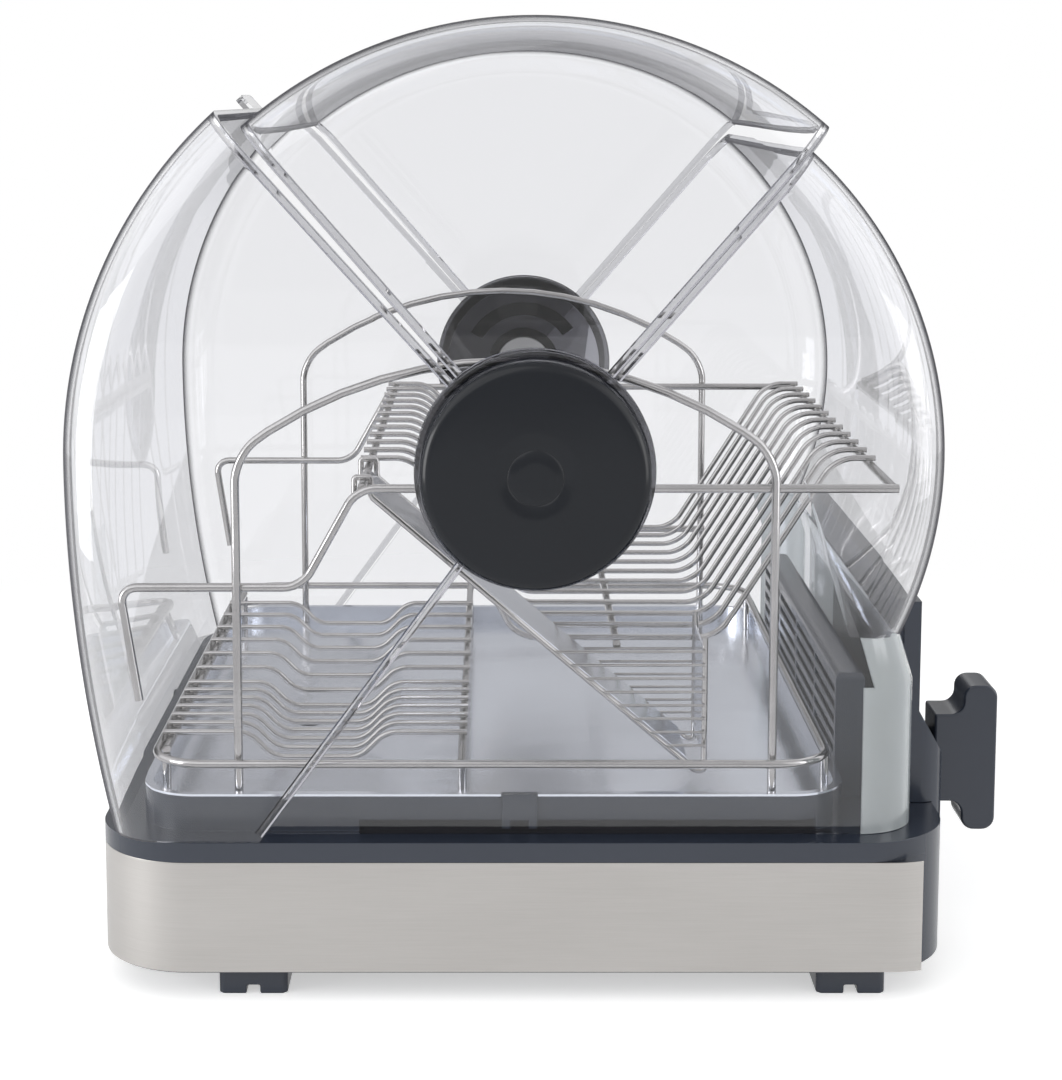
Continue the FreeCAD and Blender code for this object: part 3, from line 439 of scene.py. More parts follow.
mouldingLook = {"dark": (0.022, 0.028, 0.042), "light": (0.030, 0.037, 0.054), "grain": 900.0, "cloud": 9.0,
                "roughness": 0.18, "roughRise": 0.08, "bump": 0.012, "gloss": 0.55}
glossLook = {"dark": (0.011, 0.0125, 0.016), "light": (0.014, 0.016, 0.020), "grain": 260.0, "cloud": 14.0,
             "roughness": 0.14, "roughRise": 0.05, "bump": 0.03, "gloss": 0.25}
# near-black for the inside of the side grooves: painted shade in the recess
slotPaintedShadeLook = dict(mouldingLook, dark=(0.006, 0.006, 0.01), light=(0.01, 0.01, 0.014), gloss=0.1)
greyLook = dict(mouldingLook, dark=(0.40, 0.40, 0.42), light=(0.48, 0.48, 0.50))
# light milky look for the skirt's clear corners, a painted reflection; the tub and the lens take over its
# settings with their own colours
cornerReflectionLook = {"dark": (0.60, 0.64, 0.66), "light": (0.72, 0.76, 0.77), "grain": 300.0, "cloud": 16.0,
             "roughness": 0.08, "roughRise": 0.05, "bump": 0.01, "gloss": 0.8, "through": 0.6}
milkyLook = dict(cornerReflectionLook, dark=(0.50, 0.53, 0.55), light=(0.60, 0.63, 0.65), through=0.3)
amberLook = dict(cornerReflectionLook, dark=(0.70, 0.26, 0.03), light=(0.85, 0.36, 0.05), through=0.3)
innerLook = {"dark": (0.040, 0.044, 0.056), "light": (0.056, 0.060, 0.074), "grain": 500.0, "cloud": 9.0,
             "roughness": 0.35, "roughRise": 0.10, "bump": 0.02, "gloss": 0.4}


def brushedFinish(name, look):
    # fine lines drawn along one direction, with a slow cloud under them
    finish = Finish(name, Metallic=1.0)
    lines = finish.noise(look["lines"], 4.0, look["stretch"])
    cloud = finish.noise(look["cloud"], 3.0, look["cloudStretch"])
    wear = finish.noise(look["wear"], 4.0)
    share = lines * 0.5 + cloud * 0.5
    finish.set(Base_Color=finish.mix(share, shade(*look["dark"]), shade(*look["light"])))
    finish.set(Roughness=look["roughness"] + lines * look["roughRise"] + wear * look["wearRise"])
    finish.bump(lines, look["bump"], bumpDepth["lines"])
    return finish.material


bandLook = {"dark": (0.40, 0.385, 0.37), "light": (0.54, 0.525, 0.51), "lines": 40.0, "stretch": (1, 1, 60),
            "cloud": 9.0, "cloudStretch": (1, 1, 4), "wear": 30.0, "roughness": 0.26, "roughRise": 0.14,
            "wearRise": 0.06, "bump": 0.25}
trayLook = {"dark": (0.74, 0.77, 0.83), "light": (0.84, 0.87, 0.93), "lines": 30.0, "stretch": (30, 1, 1),
            "cloud": 7.0, "cloudStretch": (1, 1, 1), "wear": 40.0, "roughness": 0.12, "roughRise": 0.08,
            "wearRise": 0.08, "bump": 0.08}
turnedLook = {"dark": (0.42, 0.42, 0.42), "light": (0.58, 0.58, 0.58), "lines": 90.0, "stretch": (20, 1, 1),
              "cloud": 20.0, "cloudStretch": (1, 1, 1), "wear": 60.0, "roughness": 0.22, "roughRise": 0.10,
              "wearRise": 0.08, "bump": 0.12}


def wireFinish(name, look):
    finish = Finish(name, Metallic=1.0)
    cloud = finish.noise(look["cloud"], 3.0)
    finish.set(Base_Color=finish.mix(cloud, shade(*look["dark"]), shade(*look["light"])))
    finish.set(Roughness=look["roughness"] + cloud * look["roughRise"])
    finish.bump(finish.noise(look["drawn"], 3.0), look["bump"], bumpDepth["lines"])
    return finish.material


wireLook = {"dark": (0.34, 0.33, 0.32), "light": (0.52, 0.51, 0.50), "cloud": 45.0, "drawn": 700.0,
            "roughness": 0.08, "roughRise": 0.10, "bump": 0.05}

clearCover = clearFinish("clearCover", wallLook)
clearRim = clearFinish("clearRim", rimLook)
clearRib = clearFinish("clearRib", ribLook)
cornerReflectionPaint = mouldedFinish("cornerReflectionPaint", cornerReflectionLook)
darkMoulding = mouldedFinish("darkMoulding", mouldingLook)
glossBlack = mouldedFinish("glossBlack", glossLook)
innerPlastic = mouldedFinish("innerPlastic", innerLook)
slotPaintedShade = mouldedFinish("slotPaintedShade", slotPaintedShadeLook)
greyMoulding = mouldedFinish("greyMoulding", greyLook)
brushedBand = brushedFinish("brushedBand", bandLook)
polishedTray = brushedFinish("polishedTray", trayLook)
turnedSteel = brushedFinish("turnedSteel", turnedLook)
brightWire = wireFinish("brightWire", wireLook)
milkyTub = mouldedFinish("milkyTub", milkyLook)
amberLens = mouldedFinish("amberLens", amberLook)
slotFinish = {"clear_cover": clearCover, "gloss_black": glossBlack, "dark_moulding": darkMoulding,
              "brushed_band": brushedBand, "polished_tray": polishedTray, "bright_wire": brightWire,
              "water_tub": milkyTub, "turned_steel": turnedSteel, "inner_metal": turnedSteel,
              "inner_plastic": innerPlastic, "amber_lens": amberLens}
for part in frame["record"]["subparts"]:
    node = frame["nodes"][part["node"]]
    node.data.materials.clear()
    node.data.materials.append(slotFinish[part["material_slot"]])
print("finishes ready")

# covers
coverSizes = {
    "wall": 2.5, "round": 25.0, "roundSteps": 8, "bow": 730.0, "bead": 2.0,
    "rearRadius": 184.0, "rearHalf": 196.0, "topRadius": 196.25, "topHalf": 201.0,
    "frontRadius": 208.5, "frontHalf": 208.0, "rearFront": 233.8, "rearTop": 49.0, "topFront": 131.0,
    "frontTop": 132.0, "foot": 74.3, "knee": 141.0, "skirt": 165.0, "lean": 0.3, "boss": 52.5,
    "bossProud": 1.5, "bossSunk": 0.3, "bossRound": 0.6, "shoulder": 22.0, "tab": 22.0, "tabReach": 9.0,
    "tabRound": 4.0, "ribEnd": 204.0, "skirtLow": 50.0, "domeSteps": 32, "bowSteps": 40, "bowShare": 1.25,
    "flat": 0.98,
}
c = {name: value * mm for name, value in coverSizes.items()}  # the same in metres
angles = {name: math.radians(coverSizes[name]) for name in ("rearFront", "rearTop", "topFront", "frontTop")}


def ray(angle, reach, x):
    return Vector((x, hub.y + reach * math.cos(angle), hub.z + reach * math.sin(angle)))


def across(angle):
    return Vector((0, -math.sin(angle), math.cos(angle)))


def trimToSector(start, end):
    cut(hub, -across(start))
    cut(hub, across(end))


def drum(radius, half):
    obj = rod(radius, (-half, hub.y, hub.z), (half, hub.y, hub.z), 240)
    edit(obj)
    bevelEdges(lambda e: abs(along(e).x) < 0.01 and abs(abs(e.verts[0].co.x) - half) < 1e-5,
               c["round"], coverSizes["roundSteps"])
    leaveEdit()
    return obj


def thicken(obj):
    edit(obj)
    bpy.ops.mesh.remove_doubles(threshold=0.01 * mm)
    bpy.ops.mesh.normals_make_consistent(inside=False)
    leaveEdit()
    applyModifier(obj, "SOLIDIFY", thickness=c["wall"], offset=-1, use_even_offset=True)
    return obj


def bossDisc(half, proud=0.0):
    # it starts inside the wall, so that no two faces share a plane where a rib meets it
    discs, inner = [], half - c["wall"] + c["bossSunk"]
    for side in (-1, 1):
        disc = rod(c["boss"], (side * inner, hub.y, hub.z), (side * (half + proud), hub.y, hub.z), 96)
        edit(disc)
        bevelEdges(lambda e: abs(along(e).x) < 0.01, c["bossRound"], 3)
        leaveEdit()
        discs.append(disc)
    return discs


def bead(angle, radius, half, inward):
    # rounded rib along an opening edge
    inset = c["wall"] / 2 + c["bead"] / 2
    shift = across(angle) * inward * c["bead"]
    reach, side = radius - inset, half - inset
    points = [ray(angle, c["boss"], side), ray(angle, reach, side),
              ray(angle, reach, -side), ray(angle, c["boss"], -side)]
    return wire([p + shift for p in points], c["round"] - inset, c["bead"], steps=10)


def sideRibs(angle, half, inward):
    # straight ribs along an edge that runs down a side wall, cut off level at the foot
    shift = across(angle) * inward * c["bead"]
    ribs = []
    for side in (-1, 1):
        x = side * (half - c["bead"])
        rib = wire([ray(angle, c["boss"], x) + shift, ray(angle, c["ribEnd"], x) + shift], 0, c["bead"])
        edit(rib)
        cut((0, 0, c["foot"]), (0, 0, -1), True)
        leaveEdit()
        ribs.append(rib)
    return ribs


clearParts = {"wall": clearCover, "rim": clearRim, "rib": clearRib, "thick": cornerReflectionPaint}


def paint(obj, part):
    # gives the selected faces the finish of this part of a cover
    obj.active_material_index = list(clearParts).index(part)
    bpy.ops.object.material_slot_assign()


def dressClear(obj, part):
    for material in clearParts.values():
        obj.data.materials.append(material)
    edit(obj)
    paint(obj, part)
    return leaveEdit()


def finishCover(obj, extras, name, body, node):
    dressClear(obj, "wall")
    edit(obj)
    # the rounded turns get a broader painted edge shade, seen from their sides, than the flat walls do
    pick("FACE", lambda f: 1 - coverSizes["flat"] < abs(f.normal.x) < coverSizes["flat"])
    paint(obj, "rim")
    if name == "rearShell":
        # the skirt's rounded corners, from the base to the shoulder, get a light milky finish: painted
        # reflection for the bright glare of the clear corners
        limit = Vector((c["rearHalf"] - c["round"], c["skirt"] - c["round"], c["knee"] + c["shoulder"]))

        def reflectionCorner(face):
            middle = face.calc_center_median()
            leaned = middle.y + coverSizes["lean"] * max(0.0, middle.z - c["knee"])
            return abs(middle.x) > limit.x and leaned > limit.y and middle.z < limit.z

        pick("FACE", reflectionCorner)
        paint(obj, "thick")
    leaveEdit()
    for extra in extras:
        combine(obj, dressClear(extra, "wall" if extra.name == "tab" else "rib"), "UNION")
    smooth(weld(obj))
    return finishPiece(obj, name, None, body, "clear_cover", node)


rear = drum(c["rearRadius"], c["rearHalf"])
skirt = block((-c["rearHalf"], hub.y - c["rearRadius"], c["skirtLow"]),
              (c["rearHalf"], c["skirt"], hub.z))
edit(skirt)
bpy.ops.mesh.bisect(plane_co=(0, 0, c["knee"]), plane_no=(0, 0, 1))
pick("VERT", lambda v: v.co.z > hub.z - mm and v.co.y > 0)
bpy.ops.transform.translate(value=(0, -coverSizes["lean"] * (hub.z - c["knee"]), 0))
bevelEdges(lambda e: abs(along(e).z) > 0.5 and min(v.co.y for v in e.verts) > 0, c["round"],
           coverSizes["roundSteps"])
leaveEdit()
combine(rear, skirt, "UNION")
edit(rear)
trimToSector(angles["rearFront"] - 2 * math.pi, angles["rearTop"])
cut((0, 0, c["foot"]), (0, 0, -1))
leaveEdit()
thicken(rear)
finishCover(rear, [bead(angles["rearTop"], c["rearRadius"], c["rearHalf"], -1)] + bossDisc(c["rearHalf"]),
            "rearShell", "base", "rear_cover")

top = drum(c["topRadius"], c["topHalf"])
edit(top)
trimToSector(angles["rearTop"], angles["topFront"])
leaveEdit()
thicken(top)
finishCover(top, [bead(angles["rearTop"], c["topRadius"], c["topHalf"], 1),
                  bead(angles["topFront"], c["topRadius"], c["topHalf"], -1)] + bossDisc(c["topHalf"]),
            "topShell", "top_lid", "top_lid")

reach, half = c["frontRadius"], c["frontHalf"]
chain([ray(angles["frontTop"], 0, half), ray(angles["frontTop"], reach, half),
       ray(angles["frontTop"], reach, -half), ray(angles["frontTop"], 0, -half)])
roundCorners(c["round"], coverSizes["roundSteps"])
bpy.ops.mesh.select_all(action="SELECT")
bpy.ops.mesh.spin(steps=coverSizes["domeSteps"], angle=-(math.pi - angles["frontTop"]), center=hub,
                  axis=(1, 0, 0))
# below the hub the front goes on in a wider bow, a little past the foot where it is cut
bowTurn = coverSizes["bowShare"] * math.asin((hub.z - c["foot"]) / c["bow"])
bpy.ops.mesh.spin(steps=coverSizes["bowSteps"], angle=-bowTurn,
                  center=(0, hub.y - reach + c["bow"], hub.z), axis=(1, 0, 0))
front = leaveEdit()
edit(front)
cut(hub, across(angles["rearFront"]))
cut((0, 0, c["foot"]), (0, 0, -1))
leaveEdit()
thicken(front)
tab = plateFrom([ray(angles["frontTop"], reach - c["wall"], -c["tab"]),
                 ray(angles["frontTop"], reach + c["tabReach"], -c["tab"]),
                 ray(angles["frontTop"], reach + c["tabReach"], c["tab"]),
                 ray(angles["frontTop"], reach - c["wall"], c["tab"])],
                across(angles["frontTop"]) * 2 * c["bead"], c["tabRound"],
                lambda v: (v.co - hub).length > reach + c["tabReach"] / 2)
tab.name = "tab"
finishCover(front, [bead(angles["frontTop"], c["frontRadius"], c["frontHalf"], 1), tab]
            + sideRibs(angles["rearFront"], c["frontHalf"], -1)
            + bossDisc(c["frontHalf"], c["bossProud"]), "frontShell", "front_lid", "front_lid")
print("covers ready")

# hub caps
capSizes = {"radius": 50.0, "start": 209.8, "face": 226.0, "edge": 5.0, "edgeSteps": 10, "dome": 1.5,
            "domePoints": (0.8, 0.6, 0.4), "groove": 12.0, "grooveWidth": 0.8, "grooveDepth": 0.45,
            "turnSteps": 128}


def hubCap(side):
    radius, dome, face = capSizes["radius"], capSizes["dome"], capSizes["face"]
    groove, width = capSizes["groove"], capSizes["grooveWidth"]

    def onFace(r, sink=0.0):
        return (side * (face - dome * (r / radius) ** 2 - sink) * mm, hub.y + r * mm, hub.z)

    start, rim = side * capSizes["start"] * mm, onFace(radius)
    chain([(start, hub.y, hub.z), (start, hub.y + radius * mm, hub.z), rim,
           *[onFace(share * radius) for share in capSizes["domePoints"]],
           onFace(groove + width), onFace(groove, capSizes["grooveDepth"]), onFace(groove - width),
           onFace(0.5 * groove), onFace(0.0)])
    pick("VERT", lambda v: (v.co - Vector(rim)).length < 0.01 * mm)
    bpy.ops.mesh.bevel(offset=capSizes["edge"] * mm, segments=capSizes["edgeSteps"], affect="VERTICES")
    bpy.ops.mesh.select_all(action="SELECT")
    bpy.ops.mesh.spin(steps=capSizes["turnSteps"], angle=2 * math.pi, center=hub, axis=(1, 0, 0))
    bpy.ops.mesh.select_all(action="SELECT")
    bpy.ops.mesh.remove_doubles(threshold=0.001 * mm)
    bpy.ops.mesh.normals_make_consistent(inside=False)
    return smooth(leaveEdit(), 50, False)


finishPiece(joinAll([hubCap(side) for side in (-1, 1)]), "hubCovers", glossBlack, "base", "gloss_black",
            "hub_caps")
print("hub caps ready")

# racks
rack = {
    "stout": 2.0, "thin": 1.4, "hoopX": 182.0, "hoopFront": -140.0, "hoopBack": 100.6, "hoopFoot": 82.8,
    "shoulder": 243.5, "crown": 285.5, "hoopBend": 12.0, "archSteps": 14,
    "railX": 177.98, "railZ": 228.0, "railBack": 156.0, "railFront": -86.0, "stepFront": -111.0,
    "stepZ": 183.0, "noseY": -193.0, "noseFoot": (-185.0, 131.0), "railBend": 8.0, "crossGap": 2.02,
    "plates": 12, "platePitch": 25.4, "plateX": -165.96, "plateBend": 9.0,
    "platePath": [(-88.0, 231.42), (-62.0, 231.42), (-14.0, 144.42), (82.0, 144.42), (137.0, 231.42),
                  (156.0, 231.42)],
    "lowX": (-176.0, 113.9), "lowY": 34.0, "lowZ": 141.0, "tieY": 102.6,
}


def hoop(x, name, node):
    front, back = rack["hoopFront"] * mm, rack["hoopBack"] * mm
    shoulder, crown = rack["shoulder"] * mm, rack["crown"] * mm
    half, rise = (back - front) / 2, crown - shoulder
    radius = (half ** 2 + rise ** 2) / (2 * rise)
    turn = 2 * math.asin(half / radius)
    foot = rack["hoopFoot"] * mm
    chain([(x, front, foot), (x, front, shoulder)])
    bpy.ops.mesh.spin(steps=rack["archSteps"], angle=turn, center=(x, front + half, crown - radius),
                      axis=(1, 0, 0))
    bpy.ops.mesh.extrude_region_move(TRANSFORM_OT_translate={"value": (0, 0, foot - shoulder)})
    pick("VERT", lambda v: len(v.link_edges) == 2 and abs(v.co.z - shoulder) < 0.1 * mm)
    bpy.ops.mesh.bevel(offset=rack["hoopBend"] * mm, segments=8, affect="VERTICES", clamp_overlap=True)
    obj = tubeFromLine(rack["stout"] * mm)
    return finishPiece(obj, name, brightWire, "upper_rack", "bright_wire", node)


def inPlane(x, path):
    return [(x * mm, y * mm, z * mm) for y, z in path]


for side, word in ((1, "Right"), (-1, "Left")):
    hoop(side * rack["hoopX"] * mm, "hoop" + word, "rack_hoop_" + word.lower())
    path = [rack["noseFoot"], (rack["noseY"], rack["stepZ"]), (rack["stepFront"], rack["stepZ"]),
            (rack["railFront"], rack["railZ"]), (rack["railBack"], rack["railZ"])]
    rail = wire(inPlane(side * rack["railX"], path), rack["railBend"] * mm, rack["stout"] * mm)
    finishPiece(rail, "sideRail" + word, brightWire, "upper_rack", "bright_wire",
                "side_rail_" + word.lower())

crossX = (rack["railX"] - rack["crossGap"]) * mm
rails = []
for y, z, x0, x1 in ((rack["railFront"] + rack["stout"], rack["railZ"], -crossX, crossX),
                     (rack["railBack"] - rack["stout"], rack["railZ"], -crossX, crossX),
                     (rack["lowY"], rack["lowZ"], rack["lowX"][0] * mm, rack["lowX"][1] * mm)):
    rails.append(wire([(x0, y * mm, z * mm), (x1, y * mm, z * mm)], 0, rack["stout"] * mm))
finishPiece(joinAll(rails), "crossRails", brightWire, "upper_rack", "bright_wire", "cross_rails")
tie = wire(inPlane(-rack["railX"], [(rack["lowY"], rack["lowZ"]), (rack["tieY"], rack["lowZ"])]), 0,
           rack["stout"] * mm)
finishPiece(tie, "rackTie", brightWire, "upper_rack", "bright_wire", "rack_ties")
plate = wire(inPlane(rack["plateX"], rack["platePath"]), rack["plateBend"] * mm, rack["thin"] * mm)
plates = copyAlong(plate, (rack["platePitch"] * mm, 0, 0), rack["plates"])
finishPiece(joinAll(plates), "plateWires", brightWire, "upper_rack", "bright_wire", "plate_wires")

lower = {
    "half": 187.0, "front": -179.33, "back": 127.0, "level": 104.0, "corner": 24.0, "rail": -39.33,
    "foot": 82.8, "cradles": (-123.0, 30.0, 7), "fine": (72.0, 15.0, 6), "top": 107.42, "dip": 12.0,
    "dipFrom": -139.33, "dipTo": -75.33, "bend": 5.0,
}
h, y0, y1, z = lower["half"] * mm, lower["front"] * mm, lower["back"] * mm, lower["level"] * mm
rim = wire([(-h, y0, z), (h, y0, z), (h, y1, z), (-h, y1, z)], lower["corner"] * mm, rack["stout"] * mm,
           True, 10)
finishPiece(rim, "lowerRim", brightWire, "base", "bright_wire", "lower_rim")
stout = rack["stout"] * mm
second = y0 + 2 * stout
rails = [wire([(-h + stout, lower["rail"] * mm, z), (h - stout, lower["rail"] * mm, z)], 0, stout),
         wire([(-h + lower["corner"] * mm, second, z), (h - lower["corner"] * mm, second, z)], 0, stout)]
finishPiece(joinAll(rails), "lowerRails", brightWire, "base", "bright_wire", "lower_rails")
legs = []
for x in (-h + lower["corner"] * mm, h - lower["corner"] * mm):
    for y in (second, lower["rail"] * mm, y1):
        legs.append(wire([(x, y, lower["foot"] * mm), (x, y, z - stout)], 0, stout))
finishPiece(joinAll(legs), "lowerFeet", brightWire, "base", "bright_wire", "lower_feet")
top, dip = lower["top"], lower["dip"]
path = [(lower["front"], top), (lower["dipFrom"], top), (lower["dipFrom"] + dip, top - dip),
        (lower["dipTo"] - dip, top - dip), (lower["dipTo"], top), (lower["rail"] + rack["stout"], top)]
cradles = []
for start, pitch, count in (lower["cradles"], lower["fine"]):
    first = wire(inPlane(start, path), lower["bend"] * mm, rack["thin"] * mm)
    cradles += copyAlong(first, (pitch * mm, 0, 0), count)
finishPiece(joinAll(cradles), "cradleWires", brightWire, "base", "bright_wire", "cradle_wires")
print("racks ready")

# base
base = {
    "half": 208.0, "front": -203.33, "back": 180.0, "corner": 42.0, "bandLow": 14.5, "bandTop": 65.0,
    "sheet": 0.8, "bandEnd": 166.0, "bandPast": 14.0, "bandRound": 0.25, "ledge": 74.0, "rimTop": 90.0,
    "rimHalf": 190.0, "rimFront": -185.33, "rimBack": 135.0, "rimCorner": 26.0, "rimWall": 3.0,
    "slotFront": -85.33, "slotBack": 126.67, "slotHigh": 5.0, "slotDeep": 2.7, "slotSkin": 0.5,
    "trayTop": 91.0, "trayFloor": 82.5, "traySheet": 1.0, "trayGap": 0.3, "trayCorner": 22.0,
    "trayLap": 0.4, "trayRound": 0.35, "catch": -21.33, "catchWide": 16.0, "catchGap": 0.3,
    "spoutLow": 68.5, "softness": 0.8,
}
b = {name: value * mm for name, value in base.items()}  # the same in metres
spout = {"x": 42.5, "y": -119.33, "radius": 8.0}
# openings in the band: left, right, low and high of the drawer and of the timer panel
windows = {"drawer": (-73.0, 158.0, 22.0, 58.0), "panel": (-159.0, -89.0, 20.75, 58.75), "gap": 3.6,
           "reach": (10.0, 60.0)}

band = ringWall(b["half"], b["front"], b["back"] + b["bandPast"], b["corner"], b["sheet"], b["bandLow"],
                b["bandTop"])
combine(band, block((-1, b["bandEnd"], -1), (1, 1, 1)), "DIFFERENCE")
gap, (outwards, inwards) = windows["gap"], windows["reach"]
for left, right, low, high in (windows["drawer"], windows["panel"]):
    opening = block(((left - gap) * mm, b["front"] - outwards * mm, (low - gap) * mm),
                    ((right + gap) * mm, b["front"] + inwards * mm, (high + gap) * mm))
    combine(band, opening, "DIFFERENCE")
finishPiece(rounded(band, b["bandRound"], 2), "steelBand", brushedBand, "base", "brushed_band", "steel_band")

deck = slab(b["half"], b["front"], b["back"], b["corner"], b["bandTop"], b["ledge"])
raised = slab(b["rimHalf"], b["rimFront"], b["rimBack"], b["rimCorner"], b["ledge"] - mm, b["rimTop"])
combine(deck, raised, "UNION")
inset = b["rimWall"]
for steps, low, high in ((1, b["ledge"], b["rimTop"] + mm), (2, b["bandTop"] - mm, b["ledge"] + mm)):
    hollow = slab(b["rimHalf"] - steps * inset, b["rimFront"] + steps * inset,
                  b["rimBack"] - steps * inset, b["rimCorner"] - inset, low, high)
    combine(deck, hollow, "DIFFERENCE")
for side in (-1, 1):
    near, far = sorted((side * (b["rimHalf"] - 0.8 * inset), side * (b["rimHalf"] + inset)))
    groove = block((near, b["slotFront"], b["ledge"]), (far, b["slotBack"], b["ledge"] + b["slotHigh"]))
    combine(deck, groove, "DIFFERENCE")
rounded(deck, b["softness"])
finishPiece(deck, "baseDeck", darkMoulding, "base", "dark_moulding", "base_deck")
deck.data.materials.append(slotPaintedShade)


def insideSlot(face):
    middle, near = face.calc_center_median(), 0.1 * mm
    return (b["rimHalf"] - b["slotDeep"] < abs(middle.x) < b["rimHalf"] - b["slotSkin"]
            and b["ledge"] - near < middle.z < b["ledge"] + b["slotHigh"] + near
            and b["slotFront"] - mm < middle.y < b["slotBack"] + mm)


# the grooves' inner faces take the near-black painted shade
edit(deck)
pick("FACE", insideSlot)
deck.active_material_index = 1
bpy.ops.object.material_slot_assign()
leaveEdit()

wall, sheet = b["rimWall"] + b["trayGap"], b["traySheet"]
trayEdge = (b["rimHalf"] - wall, b["rimFront"] + wall, b["rimBack"] - wall)
tray = slab(*trayEdge, b["trayCorner"], b["trayFloor"] - sheet, b["trayTop"])
hollow = slab(trayEdge[0] - sheet, trayEdge[1] + sheet, trayEdge[2] - sheet, b["trayCorner"] - sheet,
              b["trayFloor"], b["trayTop"] + mm)
combine(tray, hollow, "DIFFERENCE")
lip = ringWall(b["rimHalf"], b["rimFront"], b["rimBack"], b["rimCorner"], wall + b["trayLap"],
               b["rimTop"], b["trayTop"])
combine(tray, lip, "UNION")
x, y, radius = [spout[name] * mm for name in ("x", "y", "radius")]
combine(tray, rod(radius, (x, y, b["spoutLow"]), (x, y, b["trayFloor"] - 0.5 * sheet)), "UNION")
combine(tray, rod(radius - sheet, (x, y, b["spoutLow"] - mm), (x, y, b["trayTop"])), "DIFFERENCE")
for side in (-1, 1):
    near, far = sorted((side * (b["rimHalf"] - wall), side * (b["rimHalf"] + mm)))
    notch = block((near, b["catch"] - b["catchGap"], b["rimTop"] - 0.1 * mm),
                  (far, b["catch"] + b["catchWide"] + b["catchGap"], b["trayTop"] + mm))
    combine(tray, notch, "DIFFERENCE")
finishPiece(rounded(tray, b["trayRound"], 2), "drainTray", polishedTray, "base", "polished_tray",
            "drain_tray")
print("base ready")

# bearing plates on the rear cover's bosses, each with two curved slots
plateSizes = {"radius": 46.0, "low": 196.3, "high": 197.9, "round": 0.3, "bore": 10.0,
              "boreReach": (0.9, 1.1), "slots": [(33.0, 8.0, 35.0, 150.0), (18.5, 6.0, 20.0, 165.0)],
              "slotSteps": 16, "slotStart": 190.0, "slotDepth": 12.0}


def arcSlot(side, radius, width, start, end):
    steps, x = plateSizes["slotSteps"], side * plateSizes["slotStart"] * mm
    turns = [math.radians(start + (end - start) * i / steps) for i in range(steps + 1)]
    outer = [ray(t, radius + width / 2, x) for t in turns]
    inner = [ray(t, radius - width / 2, x) for t in reversed(turns)]
    return plateFrom(outer + inner, (side * plateSizes["slotDepth"] * mm, 0, 0))


for side in (-1, 1):
    low, high = (side * plateSizes[k] * mm for k in ("low", "high"))
    plate = rod(plateSizes["radius"] * mm, (low, hub.y, hub.z), (high, hub.y, hub.z), 96)
    inwards, outwards = plateSizes["boreReach"]
    bore = rod(plateSizes["bore"] * mm, (low * inwards, hub.y, hub.z), (high * outwards, hub.y, hub.z))
    combine(plate, bore, "DIFFERENCE")
    for radius, width, start, end in plateSizes["slots"]:
        combine(plate, arcSlot(side, radius * mm, width * mm, start, end), "DIFFERENCE")
    rounded(plate, plateSizes["round"] * mm, 2)
    finishPiece(plate, "bearingPlate" + ("Left" if side < 0 else "Right"), greyMoulding, "base",
                "inner_plastic")
print("bearing plates ready")

# cord hooks
hookSizes = {"places": (-110.0, 110.0), "half": 13.0, "root": 185.8, "neck": 199.5, "back": 215.5,
             "stem": (66.0, 109.0), "horns": (52.0, 123.0), "round": 6.0, "edge": 1.2}
root, neck, back, half = [hookSizes[name] for name in ("root", "neck", "back", "half")]
(stemLow, stemTop), (hornLow, hornTop) = hookSizes["stem"], hookSizes["horns"]
outline = [(root, stemLow), (neck, stemLow), (neck, hornLow), (back, hornLow), (back, hornTop),
           (neck, hornTop), (neck, stemTop), (root, stemTop)]
hooks = []
for x in hookSizes["places"]:
    hook = plateFrom(inPlane(x - half, outline), (2 * half * mm, 0, 0), hookSizes["round"] * mm,
                     lambda v: v.co.y > root * mm + mm)
    hooks.append(rounded(hook, hookSizes["edge"] * mm))
finishPiece(joinAll(hooks), "cordHooks", darkMoulding, "base", "dark_moulding", "cord_hooks")
print("cord hooks ready")

# cutlery holder
cup = {"left": 118.0, "right": 170.0, "rail": 228.0, "railY": -84.0, "hook": 3.7, "front": -86.0,
       "back": 69.0, "toe": 2.0, "low": 96.0, "top": 152.0, "hookUp": 6.0, "rows": 8, "stout": 1.4,
       "bend": 1.4, "fine": 0.7, "apart": 2.12}
slope = (cup["rail"] - cup["low"]) / (cup["back"] - cup["front"])


def slopeAt(y):
    return cup["rail"] - (y - cup["front"]) * slope


reach, y, z, toe = cup["hook"], cup["railY"], cup["rail"], cup["toe"]
path = [(y - reach, z - reach), (y - reach, z + reach), (y + reach, z + reach),
        (y + reach, slopeAt(y + reach)), (cup["back"] - toe, cup["low"]), (cup["back"] + toe, cup["low"]),
        (cup["back"] + toe, cup["top"] + cup["hookUp"])]
loops = [wire(inPlane(x, path), cup["bend"] * mm, cup["stout"] * mm) for x in (cup["left"], cup["right"])]
finishPiece(joinAll(loops), "cupLoops", brightWire, "cutlery_holder", "bright_wire", "cup_loops")
grid = []
step = (cup["top"] - cup["low"] - cup["hookUp"]) / cup["rows"]
for x in (cup["left"] - cup["apart"], cup["right"] + cup["apart"]):
    for i in range(cup["rows"]):
        z = cup["low"] + cup["hookUp"] + (i + 1) * step
        y = cup["front"] + (cup["rail"] - z) / slope
        grid.append(wire(inPlane(x, [(y, z), (cup["back"] + toe, z)]), 0, cup["fine"] * mm))
finishPiece(joinAll(grid), "cupGrid", brightWire, "cutlery_holder", "bright_wire", "cup_grid")
print("cutlery holder ready")

# the rest of the solids, with softened edges
soft = {
    "base_pan": 0.8, "feet": 0.8, "side_catches": 0.6, "rear_housing": 2.0, "cord_gland": 0.6,
    "air_outlet": 0.6, "control_panel": 0.6, "timer_knob": 0.7, "drawer_tray": 0.5, "drawer_face": 0.4,
    "cup_chute": 0.2, "cup_back_wall": 0.2,
}


